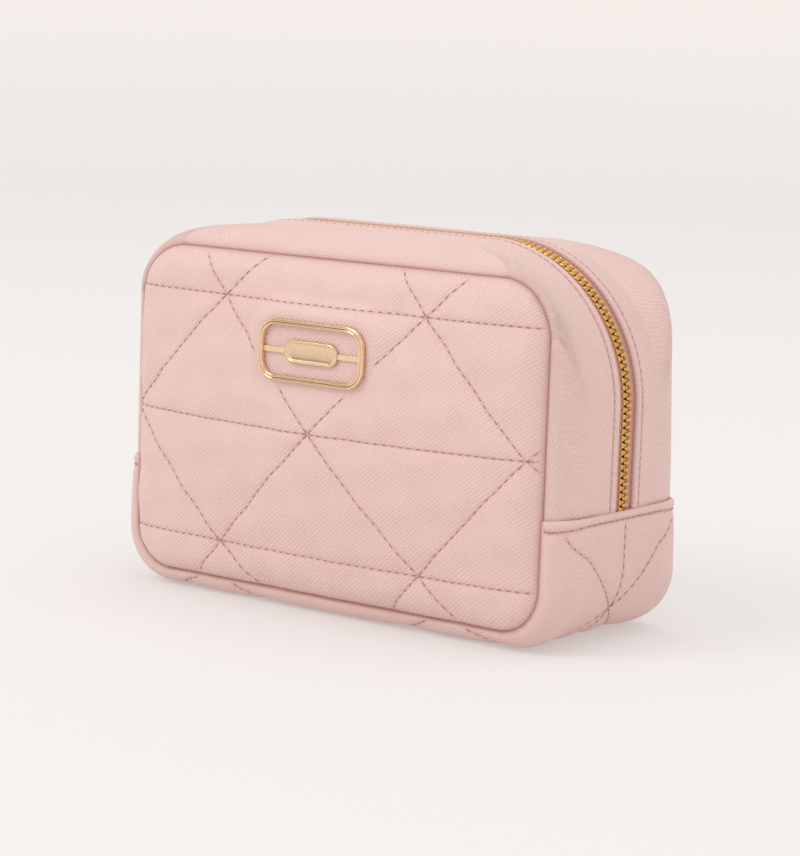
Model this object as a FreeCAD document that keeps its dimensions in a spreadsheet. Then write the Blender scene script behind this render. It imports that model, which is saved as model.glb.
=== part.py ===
"""Makeup bag: a boxy zip-top pouch of quilted coated leather, 210 mm wide, 107 mm deep and 144 mm tall.

How the real bag comes apart
    Two quilted panels, front and rear, are each sewn to a gusset that runs all the way round between them.
    The lower part of the gusset is one quilted strip, which wraps the base and climbs both sides to a hem.
    The upper part is two plain strips with the zip between them, whose lower ends are sewn under the hems.
    The panels and the base strip are padded and lined, the zip strips are lined, and a binding tape covers
    each panel's seam allowance inside. The zip has two tapes, two rows of metal teeth, a slider and its pull.
    A metal badge is held on the front panel by two prongs, each clenched over a washer behind the facing.

How it moves
    The slider runs along the zip, its pull swings on the slider's bridge, and once the zip is open the upper
    part of each side, a panel with its zip strip, folds outwards about a line just above the hems. The solids
    of the pieces that a fold bends are divided at its plane, which rises from the panel's face to the zip, so
    that the two sides open like a pair of doors.

Frame: millimetres, +Z up, front towards -Y, origin at the centre of the face that the bag stands on.
"""

import FreeCAD, Part
import Sketcher
import math
import os
import re

doc = FreeCAD.newDocument("makeup_bag")

# ---------------------------------------------------------------- driving dimensions

SIZES = {
    # overall form
    "width": 210,             # across the gusset, where it bulges most
    "height": 144,            # floor to the top of the zip strips
    "depth": 79,              # between the front and rear seam edges of the gusset
    "gusset_slope": 14,       # length over which the gusset draws in towards each seam
    "top_radius": 58,         # corner of the zip strips, where the zip turns
    "base_radius": 30,        # corner of the base strip
    # front and rear panels
    "panel_inset": 9.5,       # panel's side edge, in from the gusset's widest
    "panel_drop": 10.3,       # panel's upper edge, below the top of the zip strips
    "panel_rise": 7,          # panel's lower edge above the floor
    "panel_top_radius": 21,
    "panel_base_radius": 17,
    "panel_crown": 14,        # how far a panel stands out from its seam
    "panel_edge_round": 9,
    # layers
    "facing": 1.2,            # coated leather
    "panel_foam": 3,
    "base_foam": 1.9,
    "lining": 0.5,
    "tape": 0.5,
    "ease": 0.2,              # between layers that lie on each other
    "hem_height": 49.5,        # top of the base strip on both sides
    "hem_lap": 8,             # how far the zip strips run down under the hem
    "binding_width": 8,
    "binding_thickness": 2.5,
    "binding_clearance": 1.4,  # between a binding and the lining of the strips around it
    # zip
    "slot_width": 10.4,       # between the folded edges of the two zip strips
    "tape_reach": 14,         # from the zip's centre to the sewn edge of a tape
    "tape_edge": 1.6,         # from the zip's centre to the woven edge that carries the teeth
    "tooth_pitch": 2.6,       # along one row
    "tooth_thickness": 1.06,  # along the row
    "tooth_reach": 2.9,       # from the zip's centre to a tooth's back
    "tooth_lap": 0.35,        # how far a tooth reaches past the centre
    "tooth_height": 2.4,
    "tooth_bevel": 0.4,       # at a tooth's back
    "tooth_body": 2.0,        # from a tooth's back to its shoulder
    "tooth_nose": 0.5,        # from a tooth's neck to its tip
    "tooth_back_height": 1.9,
    "tooth_neck_height": 1.7,
    "tooth_tip_height": 1.0,
    "tooth_grip": 0.1,        # how far a tooth's mouth is deeper than the tape's edge
    "tooth_mouth_play": 0.05, # between a tooth's mouth and each face of the tape
    "tooth_clearance": 1.7,   # between the parked slider's divider and the first tooth, at the left end
    "last_tooth_lap": 5.5,    # how far the teeth run down under the hem, at the right end
    # slider and pull
    "slider_length": 12,
    "slider_width": 8.6,
    "slider_plate": 1.1,
    "slider_play": 0.25,      # between the slider and the teeth or tape
    "slider_gap": 1.0,        # between the parked slider and the hem
    "divider_length": 2.6,
    "divider_width": 1.7,
    "bridge_width": 2.0,
    "bridge_length": 8.0,
    "bridge_wall": 1.1,
    "pull_pin_radius": 0.65,
    "pull_length": 32,
    "pull_width": 8,
    "pull_thickness": 1.3,
    "pull_eye": 5.4,          # inside length of the eye that the bridge passes through
    "pull_eye_side": 0.5,     # play between the eye and the bridge, each side
    "pull_hole_radius": 1.5,
    "pull_clearance": 0.4,    # between the hanging pull and the hem
    "pin_play": 0.3,          # between the pull's pin and the bridge's outer wall
    "plate_round": 1.6,       # corners of the slider's plates
    "bridge_round": 1.8,
    "pull_round": 2.2,
    "pull_neck_step": 0.8,    # how much narrower the eye is than the tab, each side
    # badge on the front panel
    "badge_width": 49.5,
    "badge_height": 23,
    "badge_radius": 8,
    "badge_bar": 2.3,         # width of the ring's bar
    "badge_thickness": 2.2,
    "badge_drop": 33.6,       # badge's centre below the panel's upper edge
    "plaque_width": 25,
    "plaque_height": 8.6,
    "plaque_thickness": 1.7,
    "prong_width": 2.0,
    "prong_thickness": 0.5,
    "prong_play": 0.1,
    "washer_width": 6,
    "washer_thickness": 0.4,
    # fold
    "fold_rise": 1.5,         # fold line above the hem, on the front face
    "fold_climb": 26,         # how much higher the fold plane is at the zip's centre
    "fold_gap": 0.3,
}

sheet = doc.addObject("Spreadsheet::Sheet", "Sizes")
for row, (alias, value) in enumerate(SIZES.items(), start=1):
    sheet.set(f"A{row}", alias)
    sheet.set(f"B{row}", str(value))
    sheet.setAlias(f"B{row}", alias)
doc.recompute()


def cell(text):
    """A formula in which every driving dimension is named by its alias in the sheet."""
    return re.sub(r"[a-z_]+", lambda word: f"Sizes.{word[0]}" if word[0] in SIZES else word[0], text)


def number(text):
    """The present value of a formula, for a shape that can't be bound to the sheet."""
    return float(sheet.evalExpression(cell(text)))


# ---------------------------------------------------------------- derived formulas

# Distances inwards from the bag's outer outline to each layer's faces
FACING = ("0", "facing")
FOAM = ("facing + ease", "facing + ease + base_foam")
STRIP = ("facing + ease", "2 * facing + ease")
TAPE = ("2 * facing + 2 * ease", "2 * facing + 2 * ease + tape")
BASE_LINING = ("facing + 2 * ease + base_foam", "facing + 2 * ease + base_foam + lining")
STRIP_LINING = ("2 * facing + 3 * ease + tape", "2 * facing + 3 * ease + tape + lining")
BUILD_UP = "( facing + 2 * ease + base_foam )"      # panel's edge to the outline, at the seam
TAPE_MIDDLE = "( 2 * facing + 2 * ease + tape / 2 )"

# The outline round the middle of the gusset, and the one at the panel seams
MIDDLE = {
    "half": "width / 2",
    "top": "( height + facing + ease )",
    "base": "0",
    "top_radius": "( top_radius + facing + ease )",
    "base_radius": "base_radius",
}
SEAM = {
    "half": f"( width / 2 - panel_inset + {BUILD_UP} )",
    "top": f"( height - panel_drop + {BUILD_UP} )",
    "base": f"( panel_rise - {BUILD_UP} )",
    "top_radius": f"( panel_top_radius + {BUILD_UP} )",
    "base_radius": f"( panel_base_radius + {BUILD_UP} )",
}
PANEL = {
    "half": "( width / 2 - panel_inset )",
    "top": "( height - panel_drop )",
    "base": "panel_rise",
    "top_radius": "panel_top_radius",
    "base_radius": "panel_base_radius",
}

SEAM_Y = "depth / 2"                     # distances in front of the bag's middle
FLAT_Y = "( depth / 2 - gusset_slope )"
SLOT_Y = "slot_width / 2"
PANEL_FACE = "( depth / 2 + panel_crown )"
PANEL_BACK = "( depth / 2 + ease )"          # rim of a panel, which meets the gusset there
LINING_FRONT = "( depth / 2 - lining - 2 * ease )"   # front edge of the gusset's linings
STRIP_FOOT = "( hem_height - hem_lap )"
FOLD_LEVEL = "( hem_height + fold_rise )"


# ---------------------------------------------------------------- sketch helpers

LINE_START, LINE_END, CENTRE = 1, 2, 3
ORIGIN = (-1, 1)


def plane_of(body, role):
    return next(item for item in body.Origin.OriginFeatures if item.Role == role)


def sketch_across(body, name, forward):
    """A sketch parallel to the front panel, that distance in front of the bag's middle."""
    sketch = body.newObject("Sketcher::SketchObject", name)
    sketch.AttachmentSupport = [(plane_of(body, "XZ_Plane"), "")]
    sketch.MapMode = "FlatFace"
    sketch.setExpression("AttachmentOffset.Base.z", cell(forward))
    return sketch


def bind(sketch, constraint, formula):
    index = sketch.addConstraint(constraint)
    sketch.setExpression(f"Constraints[{index}]", cell(formula))


def add_arc(sketch, x, z, radius, from_angle):
    """A quarter circle with a bound centre and radius, anticlockwise from an angle in degrees."""
    circle = Part.Circle(FreeCAD.Vector(number(x), number(z), 0), FreeCAD.Vector(0, 0, 1), number(radius))
    start = math.radians(from_angle)
    arc = sketch.addGeometry(Part.ArcOfCircle(circle, start, start + math.pi / 2))
    bind(sketch, Sketcher.Constraint("DistanceX", *ORIGIN, arc, CENTRE, number(x)), x)
    bind(sketch, Sketcher.Constraint("DistanceY", *ORIGIN, arc, CENTRE, number(z)), z)
    bind(sketch, Sketcher.Constraint("Radius", arc, number(radius)), radius)
    return arc


def point(sketch, item, end):
    return sketch.getPoint(item, end)


def add_line(sketch, start, finish):
    return sketch.addGeometry(Part.LineSegment(start, finish))


def link_arcs(sketch, first, first_end, second, second_end):
    """A straight side, tangent to an arc at each end."""
    side = add_line(sketch, point(sketch, first, first_end), point(sketch, second, second_end))
    sketch.addConstraint(Sketcher.Constraint("Tangent", side, LINE_START, first, first_end))
    sketch.addConstraint(Sketcher.Constraint("Tangent", side, LINE_END, second, second_end))


def corner(outline, inset, which, side):
    """Formulas for one corner's centre and radius, that far inside an outline."""
    radius = outline[f"{which}_radius"]
    x = f"{side} ( {outline['half']} - {radius} )"
    z = f"{outline['top']} - {radius}" if which == "top" else f"{outline['base']} + {radius}"
    return x, z, f"{radius} - ( {inset} )"


def draw_loop(sketch, outline, inset):
    """A closed rounded rectangle, that far inside an outline."""
    arcs = [
        add_arc(sketch, *corner(outline, inset, "top", ""), 0),
        add_arc(sketch, *corner(outline, inset, "top", "-"), 90),
        add_arc(sketch, *corner(outline, inset, "base", "-"), 180),
        add_arc(sketch, *corner(outline, inset, "base", ""), 270),
    ]
    for index, arc in enumerate(arcs):
        link_arcs(sketch, arc, LINE_END, arcs[(index + 1) % 4], LINE_START)


def draw_band(sketch, outline, layer, which, end_level):
    """An arch (which="top") or a trough (which="base") between two depths inside an outline, to a level."""
    # an arc's end that meets the upright on its own side of the bag
    right_end, left_end = (LINE_START, LINE_END) if which == "top" else (LINE_END, LINE_START)
    right_angle, left_angle = (0, 90) if which == "top" else (270, 180)
    uprights = {}
    for inset in layer:
        right = add_arc(sketch, *corner(outline, inset, which, ""), right_angle)
        left = add_arc(sketch, *corner(outline, inset, which, "-"), left_angle)
        link_arcs(sketch, right, left_end, left, right_end)
        for name, arc, end in (("right", right, right_end), ("left", left, left_end)):
            start = point(sketch, arc, end)
            foot = FreeCAD.Vector(start.x, number(end_level), 0)
            upright = add_line(sketch, start, foot)
            sketch.addConstraint(Sketcher.Constraint("Tangent", upright, LINE_START, arc, end))
            sketch.addConstraint(Sketcher.Constraint("Vertical", upright))
            bind(
                sketch,
                Sketcher.Constraint("DistanceY", *ORIGIN, upright, LINE_END, foot.y),
                end_level,
            )
            uprights.setdefault(name, []).append(upright)
    for outer, inner in uprights.values():
        cap = add_line(sketch, point(sketch, outer, LINE_END), point(sketch, inner, LINE_END))
        sketch.addConstraint(Sketcher.Constraint("Coincident", cap, LINE_START, outer, LINE_END))
        sketch.addConstraint(Sketcher.Constraint("Coincident", cap, LINE_END, inner, LINE_END))


# ---------------------------------------------------------------- solid helpers

NODES = []
TOUCH = 1e-4    # two things this near each other touch


def node(item, label):
    """Marks an object of the document as a finished piece, and names it."""
    item.Label = label
    NODES.append(item)
    return item


def new_body(name):
    return doc.addObject("PartDesign::Body", name)


def loft(name, sections):
    """A body lofted straight between sections, each (distance in front of the middle, drawing function)."""
    body = new_body(name)
    sketches = []
    for index, (forward, draw) in enumerate(sections):
        sketch = sketch_across(body, f"{name}_section_{index}", forward)
        draw(sketch)
        sketches.append(sketch)
    doc.recompute()
    feature = body.newObject("PartDesign::AdditiveLoft", f"{name}_loft")
    feature.Profile = sketches[0]
    feature.Sections = sketches[1:]
    feature.Ruled = True
    doc.recompute()
    return body


def pad(name, back, front, draw):
    """A body padded forwards between two distances in front of the bag's middle."""
    body = new_body(name)
    sketch = sketch_across(body, f"{name}_outline", back)
    draw(sketch)
    doc.recompute()
    feature = body.newObject("PartDesign::Pad", f"{name}_pad")
    feature.Profile = sketch
    feature.setExpression("Length", cell(f"{front} - ( {back} )"))
    doc.recompute()
    return body


def front_rim(feature, front):
    """Names of the edges that lie wholly in the plane that far in front of the bag's middle."""
    plane = -number(front)
    names = []
    for index, edge in enumerate(feature.Shape.Edges, start=1):
        reach = edge.BoundBox
        if abs(reach.YMin - plane) < TOUCH and abs(reach.YMax - plane) < TOUCH:
            names.append(f"Edge{index}")
    return names


def round_rim(body, front, radius):
    """Rounds the rim of a padded body's front face."""
    tip = body.Tip
    fillet = body.newObject("PartDesign::Fillet", f"{body.Name}_rim")
    fillet.Base = (tip, front_rim(tip, front))
    fillet.setExpression("Radius", cell(radius))
    doc.recompute()


def box(name, x, y, z):
    """A block between two formulas on each axis."""
    block = doc.addObject("Part::Box", name)
    for size, axis, (low, high) in (("Length", "x", x), ("Width", "y", y), ("Height", "z", z)):
        block.setExpression(size, cell(f"( {high} ) - ( {low} )"))
        block.setExpression(f"Placement.Base.{axis}", cell(low))
    return block


def fuse(name, parts):
    item = doc.addObject("Part::MultiFuse", name)
    item.Shapes = parts
    item.Refine = True
    return item


def cut(name, base, tool):
    item = doc.addObject("Part::Cut", name)
    item.Base, item.Tool = base, tool
    return item


# ---------------------------------------------------------------- the fold

def fold_block(name, drop):
    """A block that holds everything above the fold plane, less a drop below it."""
    block = doc.addObject("Part::Box", name)
    block.setExpression("Length", cell("2 * width"))
    block.setExpression("Width", cell("2 * depth"))
    block.setExpression("Height", cell("2 * height"))
    block.setExpression("Placement.Base.x", cell("- width"))
    block.setExpression("Placement.Base.y", cell(f"- {PANEL_FACE} - ease"))
    block.setExpression("Placement.Base.z", cell(f"{FOLD_LEVEL} - {drop}"))
    block.Placement.Rotation = FreeCAD.Rotation(FreeCAD.Vector(1, 0, 0), 1)
    block.setExpression("Placement.Rotation.Angle", cell(f"atan(fold_climb / ( {PANEL_FACE} + ease ) )"))
    return block


above_fold = fold_block("above_fold", "0")
below_fold_limit = fold_block("below_fold_limit", "fold_gap")


def mirrored(source, name):
    """The same solid for the rear of the bag."""
    item = doc.addObject("Part::Mirroring", name)
    item.Source = source
    item.Normal = FreeCAD.Vector(0, 1, 0)
    return item


def divide(whole, name, openings=None):
    """Makes four pieces of one front solid: the part that opens and the part that stays, front and rear."""
    upper = doc.addObject("Part::Common", f"{name}_upper_solid")
    upper.Base, upper.Tool = whole, above_fold
    lower = cut(f"{name}_lower_solid", whole, below_fold_limit)
    for half, solid in (("upper", upper), ("lower", lower)):
        node(mirrored(solid, f"rear_{name}_{half}_solid"), f"rear_{name}_{half}")
        front = cut(f"front_{name}_{half}_solid", solid, openings) if openings and half == "upper" else solid
        node(front, f"front_{name}_{half}")


# ---------------------------------------------------------------- base strip

def base_layer(label, layer, front, top):
    """One layer of the strip that wraps the base, from the front seam to the rear one."""
    def at(outline):
        return lambda sketch: draw_band(sketch, outline, layer, "base", top)

    places = [(front, SEAM), (FLAT_Y, MIDDLE), (f"- {FLAT_Y}", MIDDLE), (f"- ( {front} )", SEAM)]
    return node(loft(label, [(forward, at(outline)) for forward, outline in places]), label)


base_layer("base_gusset_facing", FACING, SEAM_Y, "hem_height")
base_layer("base_gusset_foam", FOAM, SEAM_Y, f"{STRIP_FOOT} - ease")
base_layer("base_gusset_lining", BASE_LINING, LINING_FRONT, f"{STRIP_FOOT} - ease")


# ---------------------------------------------------------------- zip strips, their lining and the tapes

def arch(outline, layer):
    return lambda sketch: draw_band(sketch, outline, layer, "top", STRIP_FOOT)


def strip_layer(label, layer, front, back):
    """One layer of the front zip strip, an arch whose feet go down behind the hems."""
    sections = [(front, arch(SEAM, layer)), (FLAT_Y, arch(MIDDLE, layer)), (back, arch(MIDDLE, layer))]
    return loft(f"{label}_whole", sections)


strip_facing = strip_layer("zip_strip_facing", STRIP, SEAM_Y, SLOT_Y)
strip_lining = strip_layer("zip_strip_lining", STRIP_LINING, LINING_FRONT, f"{SLOT_Y} + ease")
zip_tape = pad("zip_tape_whole", "tape_edge", "tape_reach", arch(MIDDLE, TAPE))

divide(strip_facing, "zip_strip_facing")
divide(strip_lining, "zip_strip_lining")
divide(zip_tape, "zip_tape")


# ---------------------------------------------------------------- panels

def panel_loop(inset):
    return lambda sketch: draw_loop(sketch, PANEL, inset)


def dish(name, depth_in, thickness):
    """One layer of a panel: a shallow dish of even thickness, that deep behind the panel's face."""
    def pillow(part, inset):
        body = pad(f"{name}_{part}", PANEL_BACK, f"{PANEL_FACE} - ( {inset} )", panel_loop(inset))
        round_rim(body, f"{PANEL_FACE} - ( {inset} )", f"panel_edge_round - ( {inset} )")
        return body

    return cut(f"{name}_dish", pillow("outside", depth_in), pillow("inside", f"{depth_in} + {thickness}"))


FOAM_DEPTH = "facing + ease"
LINING_DEPTH = f"{FOAM_DEPTH} + panel_foam + washer_thickness + 2 * ease"

panel_facing = dish("panel_facing", "0", "facing")
panel_foam = dish("panel_foam", FOAM_DEPTH, "panel_foam")
panel_lining = dish("panel_lining", LINING_DEPTH, "lining")


# ---------------------------------------------------------------- badge

PRONG_X = "( badge_width / 2 - badge_bar / 2 )"
BRIDGE_HALF = "prong_width / 2"
WASHER_FACE = f"( {PANEL_FACE} - ( {FOAM_DEPTH} ) - panel_foam )"
PRONG_END = f"( {WASHER_FACE} - washer_thickness )"

BADGE_LEVEL = f"( {PANEL['top']} - badge_drop )"
BADGE = {
    "half": "badge_width / 2",
    "top": f"( {BADGE_LEVEL} + badge_height / 2 )",
    "base": f"( {BADGE_LEVEL} - badge_height / 2 )",
    "top_radius": "badge_radius",
    "base_radius": "badge_radius",
}
PLAQUE = {
    "half": "plaque_width / 2",
    "top": f"( {BADGE_LEVEL} + plaque_height / 2 )",
    "base": f"( {BADGE_LEVEL} - plaque_height / 2 )",
    "top_radius": "( plaque_height / 2 - ease )",
    "base_radius": "( plaque_height / 2 - ease )",
}


def draw_ring(sketch):
    draw_loop(sketch, BADGE, "0")
    draw_loop(sketch, BADGE, "badge_bar")


RING_FACE = f"( {PANEL_FACE} + badge_thickness )"
ring = pad("badge_ring_body", PANEL_FACE, RING_FACE, draw_ring)
round_rim(ring, RING_FACE, "badge_bar / 2 - ease")
node(ring, "badge_ring")

def draw_plaque(sketch):
    draw_loop(sketch, PLAQUE, "0")


PLAQUE_FACE = f"( {PANEL_FACE} + plaque_thickness )"
plaque = pad("badge_plaque_body", PANEL_FACE, PLAQUE_FACE, draw_plaque)
round_rim(plaque, PLAQUE_FACE, "plaque_thickness / 3")
node(plaque, "badge_plaque")

bridges = []
prongs = []
slots = []
for side, sign in (("left", "-"), ("right", "")):
    inner = f"{sign} ( plaque_width / 2 )"
    outer = f"{sign} ( badge_width / 2 - badge_bar )"
    span = (outer, inner) if sign else (inner, outer)
    bridges.append(
        box(
            f"badge_bridge_{side}",
            span,
            (f"- {PANEL_FACE} - badge_thickness / 2", f"- {PANEL_FACE}"),
            (f"{BADGE_LEVEL} - {BRIDGE_HALF}", f"{BADGE_LEVEL} + {BRIDGE_HALF}"),
        )
    )
    kinds = (("prong", "0", prongs, PRONG_END), ("slot", "prong_play", slots, f"{PRONG_END} - ease"))
    for name, play, target, back in kinds:
        across = f"prong_thickness / 2 + {play}"
        upright = f"prong_width / 2 + {play}"
        target.append(
            box(
                f"badge_{name}_{side}",
                (f"{sign} {PRONG_X} - ( {across} )", f"{sign} {PRONG_X} + {across}"),
                (f"- {PANEL_FACE}", f"- ( {back} )"),
                (f"{BADGE_LEVEL} - ( {upright} )", f"{BADGE_LEVEL} + {upright}"),
            )
        )


def group(name, parts, label):
    """Several solids of the same kind in one piece's file."""
    item = doc.addObject("Part::Compound", name)
    item.Links = parts
    return node(item, label)


group("badge_bridge_pair", bridges, "badge_bridges")
group("badge_prong_pair", prongs, "badge_prongs")

prong_slots = fuse("badge_prong_slots", slots)
washers = []
for side, sign in (("left", "-"), ("right", "")):
    disc = box(
        f"badge_washer_plate_{side}",
        (f"{sign} {PRONG_X} - washer_width / 2", f"{sign} {PRONG_X} + washer_width / 2"),
        (f"- {WASHER_FACE}", f"- {PRONG_END}"),
        (f"{BADGE_LEVEL} - washer_width / 2", f"{BADGE_LEVEL} + washer_width / 2"),
    )
    washers.append(cut(f"badge_washer_{side}", disc, prong_slots))
group("badge_washer_pair", washers, "badge_washers")

# Only the front panel carries the badge, so only its facing and foam have slots for the prongs
divide(panel_facing, "panel_facing", prong_slots)
divide(panel_foam, "panel_foam", prong_slots)
divide(panel_lining, "panel_lining")


# ---------------------------------------------------------------- seam bindings

BINDING_INSET = "( facing + 2 * ease + base_foam + lining + binding_clearance )"


def draw_binding(sketch):
    draw_loop(sketch, SEAM, BINDING_INSET)
    draw_loop(sketch, SEAM, f"{BINDING_INSET} + binding_width")


BINDING_FACE = f"( {PANEL_BACK} - ease )"
binding = pad("seam_binding_whole", f"{BINDING_FACE} - binding_thickness", BINDING_FACE, draw_binding)
divide(binding, "seam_binding")


# ---------------------------------------------------------------- zip teeth

SLIDER_FOOT = "( hem_height + slider_gap )"
FIRST_TOOTH = f"( {SLIDER_FOOT} + divider_length + tooth_clearance + tooth_thickness / 2 )"


def zip_station(along):
    """The point that far along the zip from its left end, and the heading there as a turn from +Z to +X."""
    radius = number(f"{MIDDLE['top_radius']} - {TAPE_MIDDLE}")
    half = number(f"{MIDDLE['half']} - {TAPE_MIDDLE}")
    top = number(f"{MIDDLE['top']} - {TAPE_MIDDLE}")
    bend = radius * math.pi / 2
    first = number(FIRST_TOOTH)
    left_leg = top - radius - first
    across = 2 * (half - radius)
    if along < left_leg:
        return -half, first + along, 0
    along -= left_leg
    if along < bend:
        turn = along / radius
        return -half + radius - radius * math.cos(turn), top - radius + radius * math.sin(turn), turn
    along -= bend
    if along < across:
        return -half + radius + along, top, math.pi / 2
    along -= across
    if along < bend:
        turn = math.pi / 2 + along / radius
        return half - radius - radius * math.cos(turn), top - radius + radius * math.sin(turn), turn
    return half, top - radius - (along - bend), math.pi


def tooth(side):
    """One tooth at the origin, which clamps the edge of the front tape (side 1) or the rear one (side -1)."""
    back = -number("tooth_reach")
    lap = number("tooth_lap")
    jaw = number("tape / 2 + tooth_mouth_play")
    jaw_end = -number("tape_edge - tooth_grip")
    profile = [
        (back, number("tooth_back_height / 2")),
        (back + number("tooth_bevel"), number("tooth_height / 2")),
        (back + number("tooth_body"), number("tooth_height / 2")),
        (lap - number("tooth_nose"), number("tooth_neck_height / 2")),
        (lap, number("tooth_tip_height / 2")),
    ]
    upper = [(jaw_end, jaw), (back, jaw)] + profile
    lower = [(across, -out) for across, out in upper[::-1]]
    thickness = number("tooth_thickness")
    corners = [FreeCAD.Vector(out, side * across, -thickness / 2) for across, out in upper + lower]
    face = Part.Face(Part.makePolygon(corners + corners[:1]))
    return face.extrude(FreeCAD.Vector(0, 0, thickness))


def tooth_row(side, first):
    """A row of teeth, sorted by the part of the bag that they ride on at the fold."""
    single = tooth(side)
    teeth = {"upper": [], "lower": []}
    along = first
    x, z, turn = zip_station(along)
    while turn < math.pi or z > number("hem_height - last_tooth_lap"):
        copy = single.copy()
        turned = FreeCAD.Rotation(FreeCAD.Vector(0, 1, 0), math.degrees(turn))
        copy.Placement = FreeCAD.Placement(FreeCAD.Vector(x, 0, z), turned)
        front_twin = FreeCAD.Vector(x, -number("tape_edge"), z)
        teeth["upper" if above_fold.Shape.isInside(front_twin, 0, True) else "lower"].append(copy)
        along += number("tooth_pitch")
        x, z, turn = zip_station(along)
    return teeth


doc.recompute()
for name, side, first in (("front", 1, "0"), ("rear", -1, "tooth_pitch / 2")):
    for half, teeth in tooth_row(side, number(first)).items():
        row = doc.addObject("Part::Feature", f"{name}_zip_teeth_{half}_row")
        row.Shape = Part.makeCompound(teeth)
        row.Placement = FreeCAD.Placement()
        node(row, f"{name}_zip_teeth_{half}")


# ---------------------------------------------------------------- slider, parked at the left end of the zip

SLIDER_TOP = f"( {SLIDER_FOOT} + slider_length )"
LEFT = "- width / 2"
TOOTH_OUT = f"( {LEFT} + {TAPE_MIDDLE} - tooth_height / 2 - slider_play )"
TOOTH_IN = f"( {LEFT} + {TAPE_MIDDLE} + tooth_height / 2 + slider_play )"
TAPE_OUT = f"( {LEFT} + {TAPE_MIDDLE} - tape / 2 - slider_play )"
TAPE_IN = f"( {LEFT} + {TAPE_MIDDLE} + tape / 2 + slider_play )"
FLANGE_IN = "( tooth_reach + slider_play )"
PLATE_OUT = f"( {TOOTH_OUT} - slider_plate )"
PLATE_IN = f"( {TOOTH_IN} + slider_plate )"
SLIDER_HALF = "( slider_width / 2 )"
BRIDGE_MIDDLE = f"( {SLIDER_FOOT} + slider_length / 2 )"
PIVOT_X = f"( {LEFT} - pull_clearance - pull_thickness / 2 )"
BRIDGE_OUT = f"( {PIVOT_X} - pull_pin_radius - pin_play - bridge_wall )"

SLIDER_SPAN = (SLIDER_FOOT, SLIDER_TOP)
slider_blocks = [
    box("slider_outer_plate", (PLATE_OUT, TOOTH_OUT), (f"- {SLIDER_HALF}", SLIDER_HALF), SLIDER_SPAN),
    box("slider_inner_plate", (TOOTH_IN, PLATE_IN), (f"- {SLIDER_HALF}", SLIDER_HALF), SLIDER_SPAN),
    box(
        "slider_divider",
        (TOOTH_OUT, TOOTH_IN),
        ("- divider_width / 2", "divider_width / 2"),
        (SLIDER_FOOT, f"{SLIDER_FOOT} + divider_length"),
    ),
]
for side, span in (("front", (f"- {SLIDER_HALF}", f"- {FLANGE_IN}")), ("rear", (FLANGE_IN, SLIDER_HALF))):
    for face, reach in (("outer", (TOOTH_OUT, TAPE_OUT)), ("inner", (TAPE_IN, TOOTH_IN))):
        slider_blocks.append(box(f"slider_{face}_flange_{side}", reach, span, SLIDER_SPAN))

slider_rough = fuse("slider_rough", slider_blocks)
doc.recompute()


def rounded(name, base, radius, chosen):
    """A fillet of that radius on the base's chosen edges, each given to the test as its bounding box."""
    size = number(radius)
    item = doc.addObject("Part::Fillet", name)
    item.Base = base
    edges = enumerate(base.Shape.Edges, start=1)
    item.Edges = [(index, size, size) for index, edge in edges if chosen(edge.BoundBox)]
    return item


def through_thickness(reach):
    """An edge that runs along X, through a plate or the pull's tab."""
    return reach.YLength < TOUCH and reach.ZLength < TOUCH


def plate_corner(reach):
    return through_thickness(reach) and abs(abs(reach.YMin) - number(SLIDER_HALF)) < TOUCH


slider_body = rounded("slider_rounded", slider_rough, "plate_round", plate_corner)

bridge_outer = box(
    "bridge_block",
    (BRIDGE_OUT, PLATE_OUT),
    ("- bridge_width / 2", "bridge_width / 2"),
    (f"{BRIDGE_MIDDLE} - bridge_length / 2", f"{BRIDGE_MIDDLE} + bridge_length / 2"),
)
bridge_window = box(
    "bridge_window",
    (f"{BRIDGE_OUT} + bridge_wall", PLATE_OUT),
    ("- bridge_width", "bridge_width"),
    (
        f"{BRIDGE_MIDDLE} - bridge_length / 2 + bridge_wall",
        f"{BRIDGE_MIDDLE} + bridge_length / 2 - bridge_wall",
    ),
)
doc.recompute()


def bridge_corner(reach):
    """An edge along Y on the bridge's face furthest from the bag."""
    return reach.XMax < number(BRIDGE_OUT) + TOUCH and reach.ZLength < TOUCH


bridge_round = rounded("bridge_rounded", bridge_outer, "bridge_round", bridge_corner)
bridge = cut("slider_bridge", bridge_round, bridge_window)
node(fuse("slider_solid", [slider_body, bridge]), "zip_slider")


# ---------------------------------------------------------------- pull, hanging from the slider's bridge

EYE_SIDE = "( bridge_width / 2 + pull_eye_side )"
PULL_HALF = "( pull_width / 2 )"
EYE_HALF = "( pull_width / 2 - pull_neck_step )"
EYE_FOOT = f"( {BRIDGE_MIDDLE} - pull_eye )"
PULL_FACES = (f"{PIVOT_X} - pull_thickness / 2", f"{PIVOT_X} + pull_thickness / 2")

pin = doc.addObject("Part::Cylinder", "pull_pin")
pin.setExpression("Radius", cell("pull_pin_radius"))
pin.setExpression("Height", cell(f"2 * {EYE_HALF}"))
pin.Placement.Rotation = FreeCAD.Rotation(FreeCAD.Vector(1, 0, 0), 90)
pin.setExpression("Placement.Base.x", cell(PIVOT_X))
pin.setExpression("Placement.Base.y", cell(EYE_HALF))
pin.setExpression("Placement.Base.z", cell(BRIDGE_MIDDLE))

pull_blocks = [pin]
for side, span in (("front", (f"- {EYE_HALF}", f"- {EYE_SIDE}")), ("rear", (EYE_SIDE, EYE_HALF))):
    pull_blocks.append(box(f"pull_arm_{side}", PULL_FACES, span, (EYE_FOOT, BRIDGE_MIDDLE)))
tab = box(
    "pull_tab",
    PULL_FACES,
    (f"- {PULL_HALF}", PULL_HALF),
    (f"{BRIDGE_MIDDLE} - pull_length", EYE_FOOT),
)
doc.recompute()


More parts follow.
